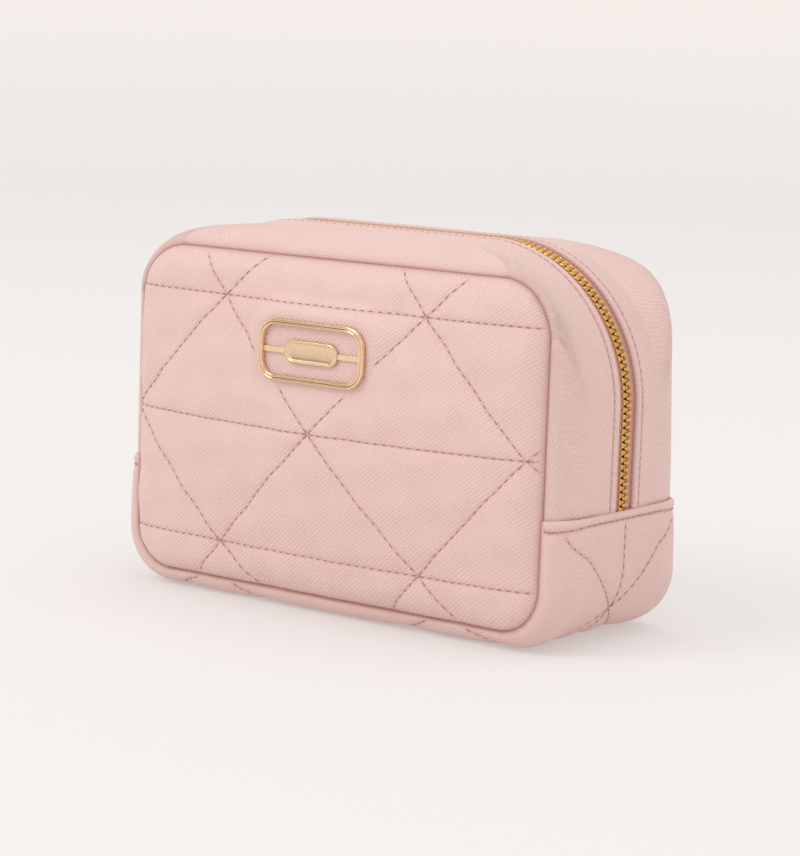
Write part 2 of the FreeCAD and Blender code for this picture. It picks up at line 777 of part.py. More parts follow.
tab_round = rounded("pull_tab_rounded", tab, "pull_round", through_thickness)
hole = doc.addObject("Part::Cylinder", "pull_hole")
hole.setExpression("Radius", cell("pull_hole_radius"))
hole.setExpression("Height", cell("3 * pull_thickness"))
hole.Placement.Rotation = FreeCAD.Rotation(FreeCAD.Vector(0, 1, 0), 90)
hole.setExpression("Placement.Base.x", cell(f"{PIVOT_X} - 1.5 * pull_thickness"))
hole.setExpression("Placement.Base.z", cell(f"{BRIDGE_MIDDLE} - pull_length + pull_width / 2"))
pull_blocks.append(cut("pull_tab_holed", tab_round, hole))
node(fuse("pull_solid", pull_blocks), "zip_pull")


# ---------------------------------------------------------------- check and write

doc.recompute()
for item in doc.Objects:
    if "Invalid" in item.State or "Error" in item.State:
        raise RuntimeError(f"{item.Name} failed: {item.State}")

os.makedirs("parts", exist_ok=True)
for item in NODES:
    shape = item.Shape
    if shape.isNull() or not shape.isValid() or not shape.Solids:
        raise RuntimeError(f"{item.Label} has no valid solid")
    shape.exportStep(f"parts/{item.Label}.step")
    reach = shape.BoundBox
    print(
        f"{item.Label:28s} solids {len(shape.Solids):3d}  volume {shape.Volume:10.1f} mm3"
        f"  x {reach.XMin:7.1f} {reach.XMax:6.1f}  y {reach.YMin:6.1f} {reach.YMax:6.1f}"
        f"  z {reach.ZMin:5.1f} {reach.ZMax:6.1f}"
    )
print(f"{len(NODES)} pieces; pull pivot at x {number(PIVOT_X):.3f}, z {number(BRIDGE_MIDDLE):.3f}")
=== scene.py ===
# %% [markdown]
# # A quilted makeup bag in cross-hatched leather
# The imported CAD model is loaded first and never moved. It gives every size that the looks need, and
# its hidden layers stay in place for collision.

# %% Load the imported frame
import math

import bpy
import numpy as np
from mathutils import Matrix, Vector


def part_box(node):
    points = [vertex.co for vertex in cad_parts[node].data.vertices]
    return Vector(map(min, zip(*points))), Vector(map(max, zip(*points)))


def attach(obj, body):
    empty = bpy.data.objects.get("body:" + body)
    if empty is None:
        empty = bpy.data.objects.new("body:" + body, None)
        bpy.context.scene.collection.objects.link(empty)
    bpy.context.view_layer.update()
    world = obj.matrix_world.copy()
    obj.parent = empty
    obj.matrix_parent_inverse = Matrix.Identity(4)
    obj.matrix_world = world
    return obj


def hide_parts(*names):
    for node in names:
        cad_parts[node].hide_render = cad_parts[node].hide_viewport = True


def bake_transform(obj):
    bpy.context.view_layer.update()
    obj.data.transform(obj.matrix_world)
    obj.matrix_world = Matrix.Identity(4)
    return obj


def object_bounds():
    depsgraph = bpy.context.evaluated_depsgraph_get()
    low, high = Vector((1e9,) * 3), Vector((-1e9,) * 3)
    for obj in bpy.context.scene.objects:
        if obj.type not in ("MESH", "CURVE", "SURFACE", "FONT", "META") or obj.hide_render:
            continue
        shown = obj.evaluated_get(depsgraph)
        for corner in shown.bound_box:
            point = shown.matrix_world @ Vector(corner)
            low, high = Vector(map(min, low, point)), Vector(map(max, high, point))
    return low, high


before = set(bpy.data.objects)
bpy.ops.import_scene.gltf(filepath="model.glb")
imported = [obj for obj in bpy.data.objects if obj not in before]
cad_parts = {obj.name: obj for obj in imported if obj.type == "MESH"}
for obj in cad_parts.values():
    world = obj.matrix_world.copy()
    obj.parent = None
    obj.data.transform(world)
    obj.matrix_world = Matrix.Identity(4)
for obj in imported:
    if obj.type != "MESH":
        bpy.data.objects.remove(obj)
cad_low, cad_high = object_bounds()
print("CAD box, mm:", [round(1000 * c) for c in (*cad_low, *cad_high)])

# %% [markdown]
# The pieces below are worked out in millimetres, which suit stitches and teeth, and turned into
# metres only when a mesh is made. The sizes come from the boxes of the CAD nodes.

# %% Read the sizes of the bag
MM = 0.001


def box_mm(node):
    """A CAD node's lowest and highest corner, in millimetres."""
    low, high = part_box(node)
    return np.array(low) / MM, np.array(high) / MM


BASE_LOW, BASE_HIGH = box_mm("base_gusset_facing")
STRIP_HIGH = box_mm("front_zip_strip_facing_upper")[1]
PANEL_LOW = box_mm("front_panel_facing_lower")[0]
PANEL_HIGH = box_mm("front_panel_facing_upper")[1]
BADGE_LOW, BADGE_HIGH = box_mm("badge_ring")
TEETH_HIGH = box_mm("front_zip_teeth_upper")[1]

HEM = BASE_HIGH[2]                    # top of the base strip on both sides
SEAM = BASE_HIGH[1]                   # from the bag's middle to a panel's seam
SLOT = -STRIP_HIGH[1]                 # from the zip's centre to a strip's folded edge
STRIP_FOOT = box_mm("front_zip_strip_facing_lower")[0][2]
BADGE_BACK = -BADGE_HIGH[1]           # the leather lies flat against this plane
BADGE_MIDDLE = (BADGE_LOW[2] + BADGE_HIGH[2]) / 2
print(f"hem at {HEM:.1f}, seams at {SEAM:.1f}, slot {2 * SLOT:.1f} wide, badge at {BADGE_MIDDLE:.1f}")

# %% [markdown]
# A rounded outline is described by its half width, its top and base levels and its corner radii. The
# gusset starts from one outline at the zip and ends at the panel's outline, so the two are kept as
# dictionaries, and `between` mixes them.

# %% Outlines of the bag, in millimetres
ARCH = {"half": STRIP_HIGH[0], "level": STRIP_HIGH[2], "radius": 58.0}
TROUGH = {"half": BASE_HIGH[0] - 0.6, "level": BASE_LOW[2], "radius": 30.0}
ARCH_SEAM = {"half": PANEL_HIGH[0] + 0.5, "level": PANEL_HIGH[2] + 0.5, "radius": 21.5}
TROUGH_SEAM = {"half": PANEL_HIGH[0] + 0.5, "level": PANEL_LOW[2] - 0.5, "radius": 17.5}
PANEL = {"half": PANEL_HIGH[0], "top": PANEL_HIGH[2], "base": PANEL_LOW[2],
         "top_radius": 21.0, "base_radius": 17.0}


def between(first, second, share):
    """Mixes two outlines; share may be an array, and runs past 1 where the leather tucks in."""
    return {key: first[key] + (second[key] - first[key]) * share for key in ("half", "level")}


def smooth(share):
    share = np.clip(share, 0, 1)
    return share * share * (3 - 2 * share)


print(f"panel {2 * PANEL['half']:.0f} by {PANEL['top'] - PANEL['base']:.1f} mm")

# %% [markdown]
# Every sewn piece is a grid of points with a front and a back, closed round its border, so it has a
# real thickness and no loose faces. One helper makes that shell, gives it a UV map that is measured
# in metres of leather, and stores a `crease` value on each point: a mask of painted shade, which
# the materials use to darken seams, grooves and needle holes where less light reaches.

# %% Build a closed shell from two grids of points
def grid_faces(rows, columns, first=0):
    index = first + np.arange(rows * columns).reshape(rows, columns)
    quads = [index[:-1, :-1], index[:-1, 1:], index[1:, 1:], index[1:, :-1]]
    return np.stack(quads, axis=-1).reshape(-1, 4)


def border_faces(rows, columns):
    """Quads that join the border of one grid to the border of its twin."""
    index = np.arange(rows * columns).reshape(rows, columns)
    ring = np.concatenate([index[0, :-1], index[:-1, -1], index[-1, :0:-1], index[:0:-1, 0]])
    after = np.roll(ring, -1)
    twin = rows * columns
    return np.stack([ring, ring + twin, after + twin, after], axis=-1)


REAR_LEAN = 0.13                      # the rear leans in by this share of its depth at the top
REAR_START = 8                        # this far behind the zip
FLOOR_GAP = 0.02                      # nothing comes nearer to the floor


def settle(points):
    """The filled bag isn't quite square: its rear leans in a little above the hem. Threads under
    the bag are pressed flat by the floor."""
    points = np.array(points, float)
    rear = smooth((points[:, 1] - REAR_START) / 20) * smooth((points[:, 2] - HEM) / 80)
    points[:, 1] -= REAR_LEAN * rear * points[:, 1]
    points[:, 2] = np.maximum(points[:, 2], FLOOR_GAP)
    return points


def turn_outwards(mesh):
    """Flips a closed mesh whose faces look inwards, which its signed volume tells."""
    mesh.calc_loop_triangles()
    corners = np.zeros(len(mesh.loop_triangles) * 3, np.int32)
    mesh.loop_triangles.foreach_get("vertices", corners)
    points = np.zeros(len(mesh.vertices) * 3, np.float32)
    mesh.vertices.foreach_get("co", points)
    points = points.astype(float).reshape(-1, 3)
    first, second, third = np.swapaxes(points[corners].reshape(-1, 3, 3), 0, 1)
    if (first * np.cross(second, third)).sum() < 0:
        mesh.flip_normals()


def make_piece(name, points, faces, uv=None, crease=None):
    mesh = bpy.data.meshes.new(name)
    faces = faces.tolist() if isinstance(faces, np.ndarray) else faces
    mesh.from_pydata((settle(points) * MM).tolist(), [], faces)
    mesh.polygons.foreach_set("use_smooth", [True] * len(mesh.polygons))
    corners = np.zeros(len(mesh.loops), np.int32)
    mesh.loops.foreach_get("vertex_index", corners)
    if uv is None:
        uv = np.asarray(points)[:, [0, 2]]
    layer = mesh.uv_layers.new(name="cloth")
    layer.data.foreach_set("uv", (np.asarray(uv)[corners] * MM).astype(np.float32).ravel())
    # The mask stored here is painted shade, which the materials use to darken the colour.
    shade_mask = mesh.attributes.new("crease", "FLOAT", "POINT")
    if crease is not None:
        shade_mask.data.foreach_set("value", np.asarray(crease, np.float32))
    mesh.validate()
    turn_outwards(mesh)
    piece = bpy.data.objects.new(name, mesh)
    bpy.context.scene.collection.objects.link(piece)
    return piece


def make_shell(name, outer, inner, uv, crease):
    """outer and inner are grids of points, rows by columns by 3."""
    rows, columns = outer.shape[:2]
    faces = np.concatenate([
        grid_faces(rows, columns),
        grid_faces(rows, columns, rows * columns)[:, ::-1],
        border_faces(rows, columns),
    ])
    points = np.concatenate([outer.reshape(-1, 3), inner.reshape(-1, 3)])
    uv = np.concatenate([uv.reshape(-1, 2)] * 2)
    crease = np.concatenate([crease.ravel(), np.zeros(crease.size)])
    return make_piece(name, points, faces, uv, crease)


print("shell helpers ready")

# %% [markdown]
# The flap of the bag folds forwards just above the hem. Here the pieces of the front and rear are
# only given their place: `bend_with_flap` bakes a piece's transform into its mesh, and sets up no bend.

# %% Bake the pieces of the front and rear in place
SIDES = {"front": -1, "rear": 1}      # towards the panel, along y


def bend_with_flap(piece):
    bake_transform(piece)


# %% [markdown]
# ## The quilted panels
# Front and rear are the same: a foam-backed panel that domes out of its seam, quilted with rows and
# diagonals that meet in six-pointed nodes. A cloth simulation would blur the exact lattice, so the
# panel is shaped in code instead: an edge roll, a dome, a puff in each cell and a groove on each
# line of stitches. The grid is a rectangle whose corners are turned into quarter discs.

# %% The grid of a panel
PANEL_STEP = 0.74                     # spacing of the grid inside the panel
PANEL_RIM = np.array([0, 0.12, 0.3, 0.55, 0.85, 1.2, 1.6, 2.1, 2.7, 3.3, 4.0])


def grid_lines(low, high):
    count = round((high - low - 2 * PANEL_RIM[-1]) / PANEL_STEP)
    inner = np.linspace(low + PANEL_RIM[-1], high - PANEL_RIM[-1], count + 1)[1:-1]
    return np.concatenate([low + PANEL_RIM, inner, (high - PANEL_RIM)[::-1]])


def corner_parts(x, z):
    """How far a point lies inside its corner's square, with that corner's radius."""
    upper = z > (PANEL["top"] + PANEL["base"]) / 2
    radius = np.where(upper, PANEL["top_radius"], PANEL["base_radius"])
    a = np.abs(x) - (PANEL["half"] - radius)
    b = np.where(upper, z - (PANEL["top"] - radius), PANEL["base"] + radius - z)
    return upper, radius, a, b


def round_corners(x, z):
    upper, radius, a, b = corner_parts(x, z)
    inside = (a > 0) & (b > 0)
    reach, less = np.maximum(a, b), np.minimum(a, b)
    angle = math.pi / 4 * less / np.where(inside, reach, 1)
    angle = np.where(a >= b, angle, math.pi / 2 - angle)
    new_x = np.sign(x) * (PANEL["half"] - radius + reach * np.cos(angle))
    rise = radius - reach * np.sin(angle)
    new_z = np.where(upper, PANEL["top"] - rise, PANEL["base"] + rise)
    return np.where(inside, new_x, x), np.where(inside, new_z, z)


def from_edge(x, z):
    """Distance inwards from the panel's outline."""
    _, radius, a, b = corner_parts(x, z)
    rounded = radius - np.hypot(np.maximum(a, 0), np.maximum(b, 0))
    straight = np.minimum(PANEL["half"] - np.abs(x), np.minimum(PANEL["top"] - z, z - PANEL["base"]))
    return np.maximum(np.where((a > 0) & (b > 0), rounded, straight), 0)


panel_x, panel_z = round_corners(*np.meshgrid(
    grid_lines(-PANEL["half"], PANEL["half"]), grid_lines(PANEL["base"], PANEL["top"])))
print("panel grid", panel_x.shape)

# %% [markdown]
# The quilting is a lattice: rows 47 mm apart, and diagonals at 45 degrees that cross on them. For each
# point, the distances to the nearest row and to the nearest diagonal of each family tell where it
# lies in its cell. The needle holes repeat along each line at the stitch pitch.

# %% The quilting lattice
ROWS_APART, PANEL_DRAWN = 47, 126.7   # row pitch of a panel that is this tall
ROW_PITCH = (PANEL["top"] - PANEL["base"]) * ROWS_APART / PANEL_DRAWN
LATTICE_MIDDLE = (PANEL["top"] + PANEL["base"]) / 2
STITCH, STITCH_LENGTH = 3.6, 2.45     # pitch of the quilting, and the thread seen of each stitch
LATTICE_DRIFT = 3.6                   # the outer node was sewn this far in from its place
PUFF, PUFF_REACH = 1.25, 6.0
GROOVE, GROOVE_WIDTH = 0.28, 0.85


def lattice(x, z):
    """Distance to each family of lines, and the place along it, as three pairs."""
    up = z - LATTICE_MIDDLE
    x = x + LATTICE_DRIFT * smooth((x - ROW_PITCH) / ROW_PITCH)
    pairs = []
    for across, along, pitch, scale in (
        (up, x, ROW_PITCH, 1.0),
        (up - x, up + x, 2 * ROW_PITCH, math.sqrt(0.5)),
        (up + x, up - x, 2 * ROW_PITCH, math.sqrt(0.5)),
    ):
        off = across - pitch * np.round(across / pitch)
        pairs.append((np.abs(off) * scale, along * scale))
    return pairs


def quilt(pairs):
    """Height of quilted leather beside its lines of stitches, and its crease shade: painted shade in
    the grooves and needle holes.
    """
    near = -2.0 * np.log(sum(np.exp(-distance / 2.0) for distance, _ in pairs))
    height = PUFF * (1 - np.exp(-np.maximum(near, 0) / PUFF_REACH))
    crease = np.zeros_like(height)
    for distance, along in pairs:
        hole = (0.5 + 0.5 * np.cos(2 * math.pi * along / STITCH)) ** 3
        height = height - GROOVE * np.exp(-(distance / GROOVE_WIDTH) ** 2) * (0.7 + 0.5 * hole)
        pucker = np.cos(2 * math.pi * along / STITCH) * np.exp(-((distance - 1.6) / 1.3) ** 2)
        height = height - 0.07 * pucker
        crease = np.maximum(crease, np.exp(-(distance / 0.45) ** 2) * (0.05 + 0.6 * hole))
    return height, crease


print(f"rows {ROW_PITCH:.1f} mm apart, stitches {STITCH} mm long")

# %% [markdown]
# The leather also sags a little between the puffs, as hand-filled foam does. A few long waves with
# fixed phases do that, the same each run. Where the badge sits, the leather is pulled flat to the
# plane of its back.

# %% The face of a panel
SEAM_TUCK = 1.2                       # how far the panel starts behind the seam's edge
EDGE_RISE, EDGE_ROUND = 5.6, 9.0
CROWN = 11.6
BADGE_INSET, BADGE_MARGIN = 7.0, 0.6  # corners of the flat patch, and how far it passes the badge
BADGE_EASE = 9.0                      # over which the leather dips to the badge
SAG, EDGE_FADE = 0.22, 2.5            # height of the waves; dome and puffs start this far inside
WAVES = ((0.021, 0.033, 0.4), (-0.047, 0.019, 2.1), (0.013, -0.061, 4.0), (0.055, 0.043, 5.2))


def badge_pull(x, z):
    """1 under the badge, falling to 0 at the end of its ease."""
    half_x = BADGE_HIGH[0] - BADGE_INSET
    half_z = (BADGE_HIGH[2] - BADGE_LOW[2]) / 2 - BADGE_INSET
    beyond = np.hypot(np.maximum(np.abs(x) - half_x, 0),
                      np.maximum(np.abs(z - BADGE_MIDDLE) - half_z, 0))
    return smooth(1 - (beyond - (BADGE_INSET + BADGE_MARGIN)) / BADGE_EASE)


def panel_face(x, z, badge):
    """How far the leather stands in front of the bag's middle, and its crease shade: painted shade in
    the grooves, the needle holes and along the seam.
    """
    edge = from_edge(x, z)
    roll = EDGE_RISE * np.sqrt(1 - (1 - np.clip(edge / EDGE_ROUND, 0, 1)) ** 2)
    lift = (z - LATTICE_MIDDLE) / (PANEL["top"] - LATTICE_MIDDLE)
    dome = CROWN * (1 - (x / PANEL["half"]) ** 2) * (1 - lift ** 2)
    dome = dome + sum(SAG * np.sin(2 * math.pi * (p * x + q * z) + r) for p, q, r in WAVES)
    height, crease = quilt(lattice(x, z))
    fade = 1 - np.exp(-edge / EDGE_FADE)
    front = SEAM - SEAM_TUCK + roll + dome * fade + height * fade
    pull = badge_pull(x, z) if badge else np.zeros_like(x)
    front = front + (BADGE_BACK - 0.05 - front) * pull
    return front, np.maximum(crease * (1 - pull ** 8), np.exp(-edge / 0.7))


def panel_back(front, x, z, depth):
    """A sheet that deep behind the face, which comes to the seam at the border."""
    edge = from_edge(x, z)
    return front - depth * (0.12 + 0.88 * np.sqrt(1 - (1 - np.clip(edge / EDGE_ROUND, 0, 1)) ** 2))


front_depth, _ = panel_face(panel_x, panel_z, True)
print(f"the front panel stands {front_depth.max():.1f} mm in front of the middle")

# %% [markdown]
# The panel is one padded piece, leather in front and foam behind. Its lining is a thin shell a little
# further in, so that an open flap shows cloth.

# %% Make the panels and their linings
PAD_DEPTH = 4.2
LINING_GAP, LINING_THICKNESS = 4.85, 0.4
pieces = {}


def panel_sheet(side, depth):
    front, _ = panel_face(panel_x, panel_z, side == "front")
    if depth:
        front = panel_back(front, panel_x, panel_z, depth)
    return np.stack([panel_x, SIDES[side] * front, panel_z], axis=-1)


for side in SIDES:
    uv = np.stack([panel_x, panel_z], axis=-1)
    _, crease = panel_face(panel_x, panel_z, side == "front")
    pieces[f"{side}_panel"] = make_shell(
        f"{side}_panel", panel_sheet(side, 0), panel_sheet(side, PAD_DEPTH), uv, crease)
    thin = (slice(None, None, 3), slice(None, None, 3))
    pieces[f"{side}_panel_lining"] = make_shell(
        f"{side}_panel_lining", panel_sheet(side, LINING_GAP)[thin],
        panel_sheet(side, LINING_GAP + LINING_THICKNESS)[thin], uv[thin], 0 * crease[thin])
    halves = [f"{side}_panel_{{}}_{half}" for half in ("upper", "lower")]
    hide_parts(*[h.format(k) for h in halves for k in ("facing", "foam")])
    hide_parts(*[h.format("lining") for h in halves])
print("points in a panel:", len(pieces["front_panel"].data.vertices))

# %% [markdown]
# ## The gusset
# Two zip strips and a base strip go round the panels. Seen along the bag they follow a rounded
# outline, and towards each seam they roll over a quarter of an ellipse and tuck in behind the panel.
# A point of the gusset has two measures: `run`, along the outline from its middle, and `across`,
# from the bag's middle towards the seam.

# %% Follow an outline
def outline_point(run, outline, rest, end, way):
    """x, z and the outward direction at a run from an outline's middle; way is 1 for the arch over
    the bag and -1 for the trough under it. rest is the outline that the run is measured on."""
    straight = rest["half"] - rest["radius"]
    arc = math.pi / 2 * rest["radius"]
    upright = abs(end - rest["level"]) - rest["radius"]
    side, length = np.sign(run), np.abs(run)
    flat = np.clip(length / straight, 0, 1)
    turn = np.clip((length - straight) / arc, 0, 1) * math.pi / 2
    climb = (length - straight - arc) / upright
    centre_x = outline["half"] - outline["radius"]
    centre_z = outline["level"] - way * outline["radius"]
    x = side * (flat * centre_x + outline["radius"] * np.sin(turn))
    z = centre_z + way * outline["radius"] * np.cos(turn)
    z = np.where(climb > 0, centre_z + (end - centre_z) * climb, z)
    return x, z, side * np.sin(turn), way * np.cos(turn)


def outline_length(outline, end):
    """Half the length of an outline, from its middle to its end."""
    straight = outline["half"] - outline["radius"]
    upright = abs(end - outline["level"]) - outline["radius"]
    return straight + math.pi / 2 * outline["radius"] + upright


ARCH_RUN, TROUGH_RUN = outline_length(ARCH, STRIP_FOOT), outline_length(TROUGH, HEM)
print(f"half a zip strip is {ARCH_RUN:.0f} mm long, half the base strip {TROUGH_RUN:.0f}")

# %% [markdown]
# The gusset's leather stays level beside the zip and then rolls down to the seam. A bevel would give
# the roll one radius everywhere, but the corner is wide at the zip and tight at the seam. So the
# section is written out: a level part, a quarter of an ellipse and a tuck behind the panel, with the
# corner tightening along the roll.

# %% The gusset's section, from the middle to the seam
FLAT = 23.0                           # the gusset is level up to here, then rolls
ROLL = SEAM + 1.3 - FLAT              # how far the roll stands forwards
ROLL_RUN = 21.5                       # measured round the roll
TUCK = 1.12                           # the roll goes on past a quarter turn, behind the panel
CORNER_EASE = 1.3                     # the corner tightens from the zip's to the seam's this soon


def gusset_section(across):
    """Distance from the middle, share of the way to the seam outline, and the roll's angle."""
    angle = np.clip((np.abs(across) - FLAT) / ROLL_RUN, 0, TUCK) * math.pi / 2
    out = np.where(np.abs(across) < FLAT, np.abs(across), FLAT + ROLL * np.sin(angle))
    return np.sign(across) * out, 1 - np.cos(angle), angle


ACROSS_END = FLAT + ROLL_RUN * TUCK
FLOOR_PRESS = 0.7                     # puffs this near the floor are pressed


def gusset_point(run, across, height, first, second, end, way):
    """Points on the gusset, raised by height out of its surface. first and second are its outlines
    at the zip and at the seam."""
    def bare(run, across):
        y, share, angle = gusset_section(across)
        outline = between(first, second, share)
        tightened = np.sin(np.minimum(angle, math.pi / 2)) ** CORNER_EASE
        outline["radius"] = first["radius"] + (second["radius"] - first["radius"]) * tightened
        x, z, _, _ = outline_point(run, outline, first, end, way)
        return np.stack([x, y, z], axis=-1)

    step = 0.3
    along = bare(run + step, across) - bare(run - step, across)
    aside = bare(run, across + step) - bare(run, across - step)
    out = way * np.cross(along, aside)
    out = out / np.linalg.norm(out, axis=-1, keepdims=True)
    return bare(run, across) + out * np.asarray(height)[..., None]


def strip_point(run, across, height):
    return gusset_point(run, across, height, ARCH, ARCH_SEAM, STRIP_FOOT, 1)


def base_point(run, across, height):
    """The base strip's points; where it stands on the floor, the puffs are pressed flat."""
    points = gusset_point(run, across, height, TROUGH, TROUGH_SEAM, HEM, -1)
    points[..., 2] = np.where(points[..., 2] < FLOOR_PRESS, FLOOR_PRESS * np.exp(
        np.minimum(points[..., 2] / FLOOR_PRESS - 1, 0)), points[..., 2])
    return points


print(f"the gusset is {2 * ACROSS_END:.0f} mm across, laid flat")

# %% [markdown]
# A zip strip is folded under beside the zip and topstitched 4 mm from the fold. The fold is round,
# stands a little proud between its edge and the stitches, and the stitches pull a groove.

# %% The surface of a zip strip
FOLD_ROUND = 1.3
STRIP_CROWN = 0.9                     # the strips rise towards the zip by this much
TOPSTITCH = 4.0                       # from the folded edge to the stitches
TOPSTITCH_PITCH, TOPSTITCH_LENGTH = 3.2, 2.2


def row_of_stitches(distance, along, pitch):
    """Height beside one line of topstitching, and painted shade in its groove and needle holes."""
    hole = (0.5 + 0.5 * np.cos(2 * math.pi * along / pitch)) ** 3
    groove = np.exp(-(distance / 0.7) ** 2) * (0.65 + 0.5 * hole)
    beside = np.exp(-((np.abs(distance) - 1.6) / 1.2) ** 2)
    pucker = 0.05 * np.cos(2 * math.pi * along / pitch) * beside
    return -0.42 * groove - pucker, np.exp(-(distance / 0.5) ** 2) * (0.15 + 0.75 * hole)


def fold_over(inwards, radius):
    """How far a folded edge drops, that distance in from the fold."""
    return radius * (np.sqrt(1 - (1 - np.clip(inwards / radius, 0, 1)) ** 2) - 1)


def strip_surface(run, across):
    inwards = np.abs(across) - SLOT
    height, crease = row_of_stitches(inwards - TOPSTITCH, run, TOPSTITCH_PITCH)
    ridge = 0.2 * np.exp(-((inwards - 1.9) / 1.3) ** 2)
    wave = 0.12 * np.sin(run / 17 + 0.4 * across) + 0.1 * np.sin(run / 9.3 - across / 5)
    relaxed = smooth((np.abs(across) - 12) / 10)
    height = height + ridge + fold_over(inwards, FOLD_ROUND) + wave * relaxed
    height = height - STRIP_CROWN * smooth((inwards - 2) / 16)
    # Painted shade at the folded edge, at the seam and in the corner on the hem.
    crease = np.maximum(crease, np.exp(-inwards / 0.5))
    crease = np.maximum(crease, np.exp(-np.maximum(ACROSS_END - 1.6 - np.abs(across), 0) / 0.8))
    level = strip_point(run, across, 0 * height)[..., 2]
    hem_shade = 0.7 * np.exp(-np.maximum(level - HEM, 0) / 0.6)      # in the corner on the hem
    return height, np.maximum(crease, hem_shade)


strip_runs = np.linspace(-ARCH_RUN, ARCH_RUN, 521)
across_near = np.array([0, 0.12, 0.35, 0.65, 1.0, 1.5, 2.0, 2.6, 3.1, 3.5, 4.0, 4.5, 4.9, 5.4, 6.0,
                        6.8])         # close lines over the fold and the stitches
strip_across = np.concatenate([SLOT + across_near, np.linspace(SLOT + 7.8, FLAT, 12)[:-1],
                               np.linspace(FLAT, ACROSS_END, 30)])
print("strip grid", strip_runs.size, "by", strip_across.size)

# %% [markdown]
# Each strip is one piece that runs over the arch from hem to hem. A Solidify modifier would thicken
# it evenly. Two surfaces of its own give the folded edge its depth, and the grid lines lie close
# together only at the fold and the stitches, where the shape changes most.

# %% Make the zip strips and their linings
STRIP_THICKNESS = 1.2
STRIP_LINING = (2.1, 2.6)             # depths of the lining's two faces

for side, sign in SIDES.items():
    runs, across = np.meshgrid(strip_runs, sign * strip_across, indexing="ij")
    uv = np.stack([runs, across], axis=-1)
    height, crease = strip_surface(runs, across)
    pieces[f"{side}_zip_strip"] = make_shell(
        f"{side}_zip_strip", strip_point(runs, across, height),
        strip_point(runs, across, -FOLD_ROUND - STRIP_THICKNESS + 0 * height), uv, crease)
    runs, across = np.meshgrid(strip_runs[::3], sign * strip_across[2::3], indexing="ij")
    uv = np.stack([runs, across], axis=-1)
    faces = [strip_point(runs, across, -depth - 0.3 + 0 * runs) for depth in STRIP_LINING]
    pieces[f"{side}_strip_lining"] = make_shell(
        f"{side}_strip_lining", *faces, uv, 0 * runs)
    for kind, piece in (("facing", "zip_strip"), ("lining", "strip_lining")):
        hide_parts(*[f"{side}_zip_strip_{kind}_{half}" for half in ("upper", "lower")])
print("points in a strip:", len(pieces["front_zip_strip"].data.vertices))

# %% [markdown]
# The base strip is foam-backed and quilted like the panels: one row of stitches runs along its middle,
# and pairs of diagonals cross on it. At both ends it is doubled into a hem that covers the feet of the
# zip strips, with a line of stitches under its top edge.

# %% The surface of the base strip
NODE_RUN = 103.0                      # from the middle of the base to where the diagonals cross
HEM_STITCH = 2.9                      # hem stitches below the hem's edge
BASE_PUFF = 1.3


def base_lattice(run, across):
    """The middle row and the diagonals of the base strip, as in lattice()."""
    node = np.where(np.abs(run) > NODE_RUN / 2, np.sign(run) * NODE_RUN, 0)
    u, scale = run - node, math.sqrt(0.5)
    return [(np.abs(across), run),
            (np.abs(u - across) * scale, (u + across) * scale),
            (np.abs(u + across) * scale, (u - across) * scale)]


def base_surface(run, across):
    pairs = base_lattice(run, across)
    height, crease = quilt(pairs)
    height = height * BASE_PUFF / PUFF
    from_hem = TROUGH_RUN - np.abs(run)
    seam_fade = 1 - np.exp(-np.maximum(ACROSS_END - 2.2 - np.abs(across), 0) / 4)
    hem_fade = smooth((from_hem - HEM_STITCH) / 3)
    stitched, hem_crease_shade = row_of_stitches(from_hem - HEM_STITCH, across, STITCH)
    ridge = 0.3 * np.exp(-((from_hem - 1.4) / 1.1) ** 2)
    height = (height * hem_fade + stitched + ridge) * seam_fade + fold_over(from_hem, 1.1)
    # The mask is painted shade: in the grooves, the needle holes, the hem stitches and at the seam.
    crease = np.maximum(crease * hem_fade, hem_crease_shade)
    painted_seam_shade = np.exp(-np.maximum(ACROSS_END - 1.6 - np.abs(across), 0) / 0.8)
    return height, np.maximum(crease, painted_seam_shade)


hem_lines = np.array([0, 0.1, 0.3, 0.6, 1.0, 1.5, 2.0, 2.4, 2.7, 3.0, 3.3, 3.7, 4.2, 4.8])
run_lines = np.linspace(0, TROUGH_RUN - 5.5, 175)
base_runs = np.concatenate([run_lines, TROUGH_RUN - hem_lines[::-1]])
base_runs = np.concatenate([-base_runs[:0:-1], base_runs])
base_across = np.linspace(-ACROSS_END, ACROSS_END, 131)
print("base grid", base_runs.size, "by", base_across.size)

# %% [markdown]
# The base strip is made in the same way, as one quilted piece from hem to hem. Its inner face lies
# deeper where foam backs it, and comes up close behind the outer face at the doubled hems.

# %% Make the base strip
BASE_THICKNESS, HEM_THICKNESS = 3.3, 1.25   # the foam ends below the hem

runs, across = np.meshgrid(base_runs, base_across, indexing="ij")
height, crease = base_surface(runs, across)
padded_inside = base_point(runs, across, -BASE_THICKNESS + 0 * height)
hem_inside = base_point(runs, across, -HEM_THICKNESS + 0 * height)
foam = smooth((TROUGH_RUN - np.abs(runs) - 6) / 4)[..., None]
base_inside = padded_inside * foam + hem_inside * (1 - foam)
pieces["base_strip"] = make_shell("base_strip", base_point(runs, across, height), base_inside,
                                  np.stack([runs, across], axis=-1), crease)
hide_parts("base_gusset_facing", "base_gusset_foam")
print("points in the base strip:", len(pieces["base_strip"].data.vertices))

# %% [markdown]
# ## The zip
# Each tape is a woven ribbon with a thick edge, sewn under its strip. The teeth are cast metal: a
# shank that clamps the tape's edge, and a domed head that locks between the heads opposite. One tooth
# is lofted from chamfered sections and set at each station, so the rows mesh as real ones do.

# %% Follow the zip
TOOTH_HEIGHT, TOOTH_PITCH = 2.4, 2.6
ZIP_PROUD = 0.1                       # the closed zip is pushed up between its strips
zip_depth = TOOTH_HEIGHT / 2 - ZIP_PROUD
ZIP = {"half": TEETH_HIGH[0] - zip_depth, "level": TEETH_HIGH[2] - zip_depth,
       "radius": ARCH["radius"] - (STRIP_HIGH[0] - TEETH_HIGH[0]) - zip_depth}
ZIP_RUN = outline_length(ZIP, STRIP_FOOT)


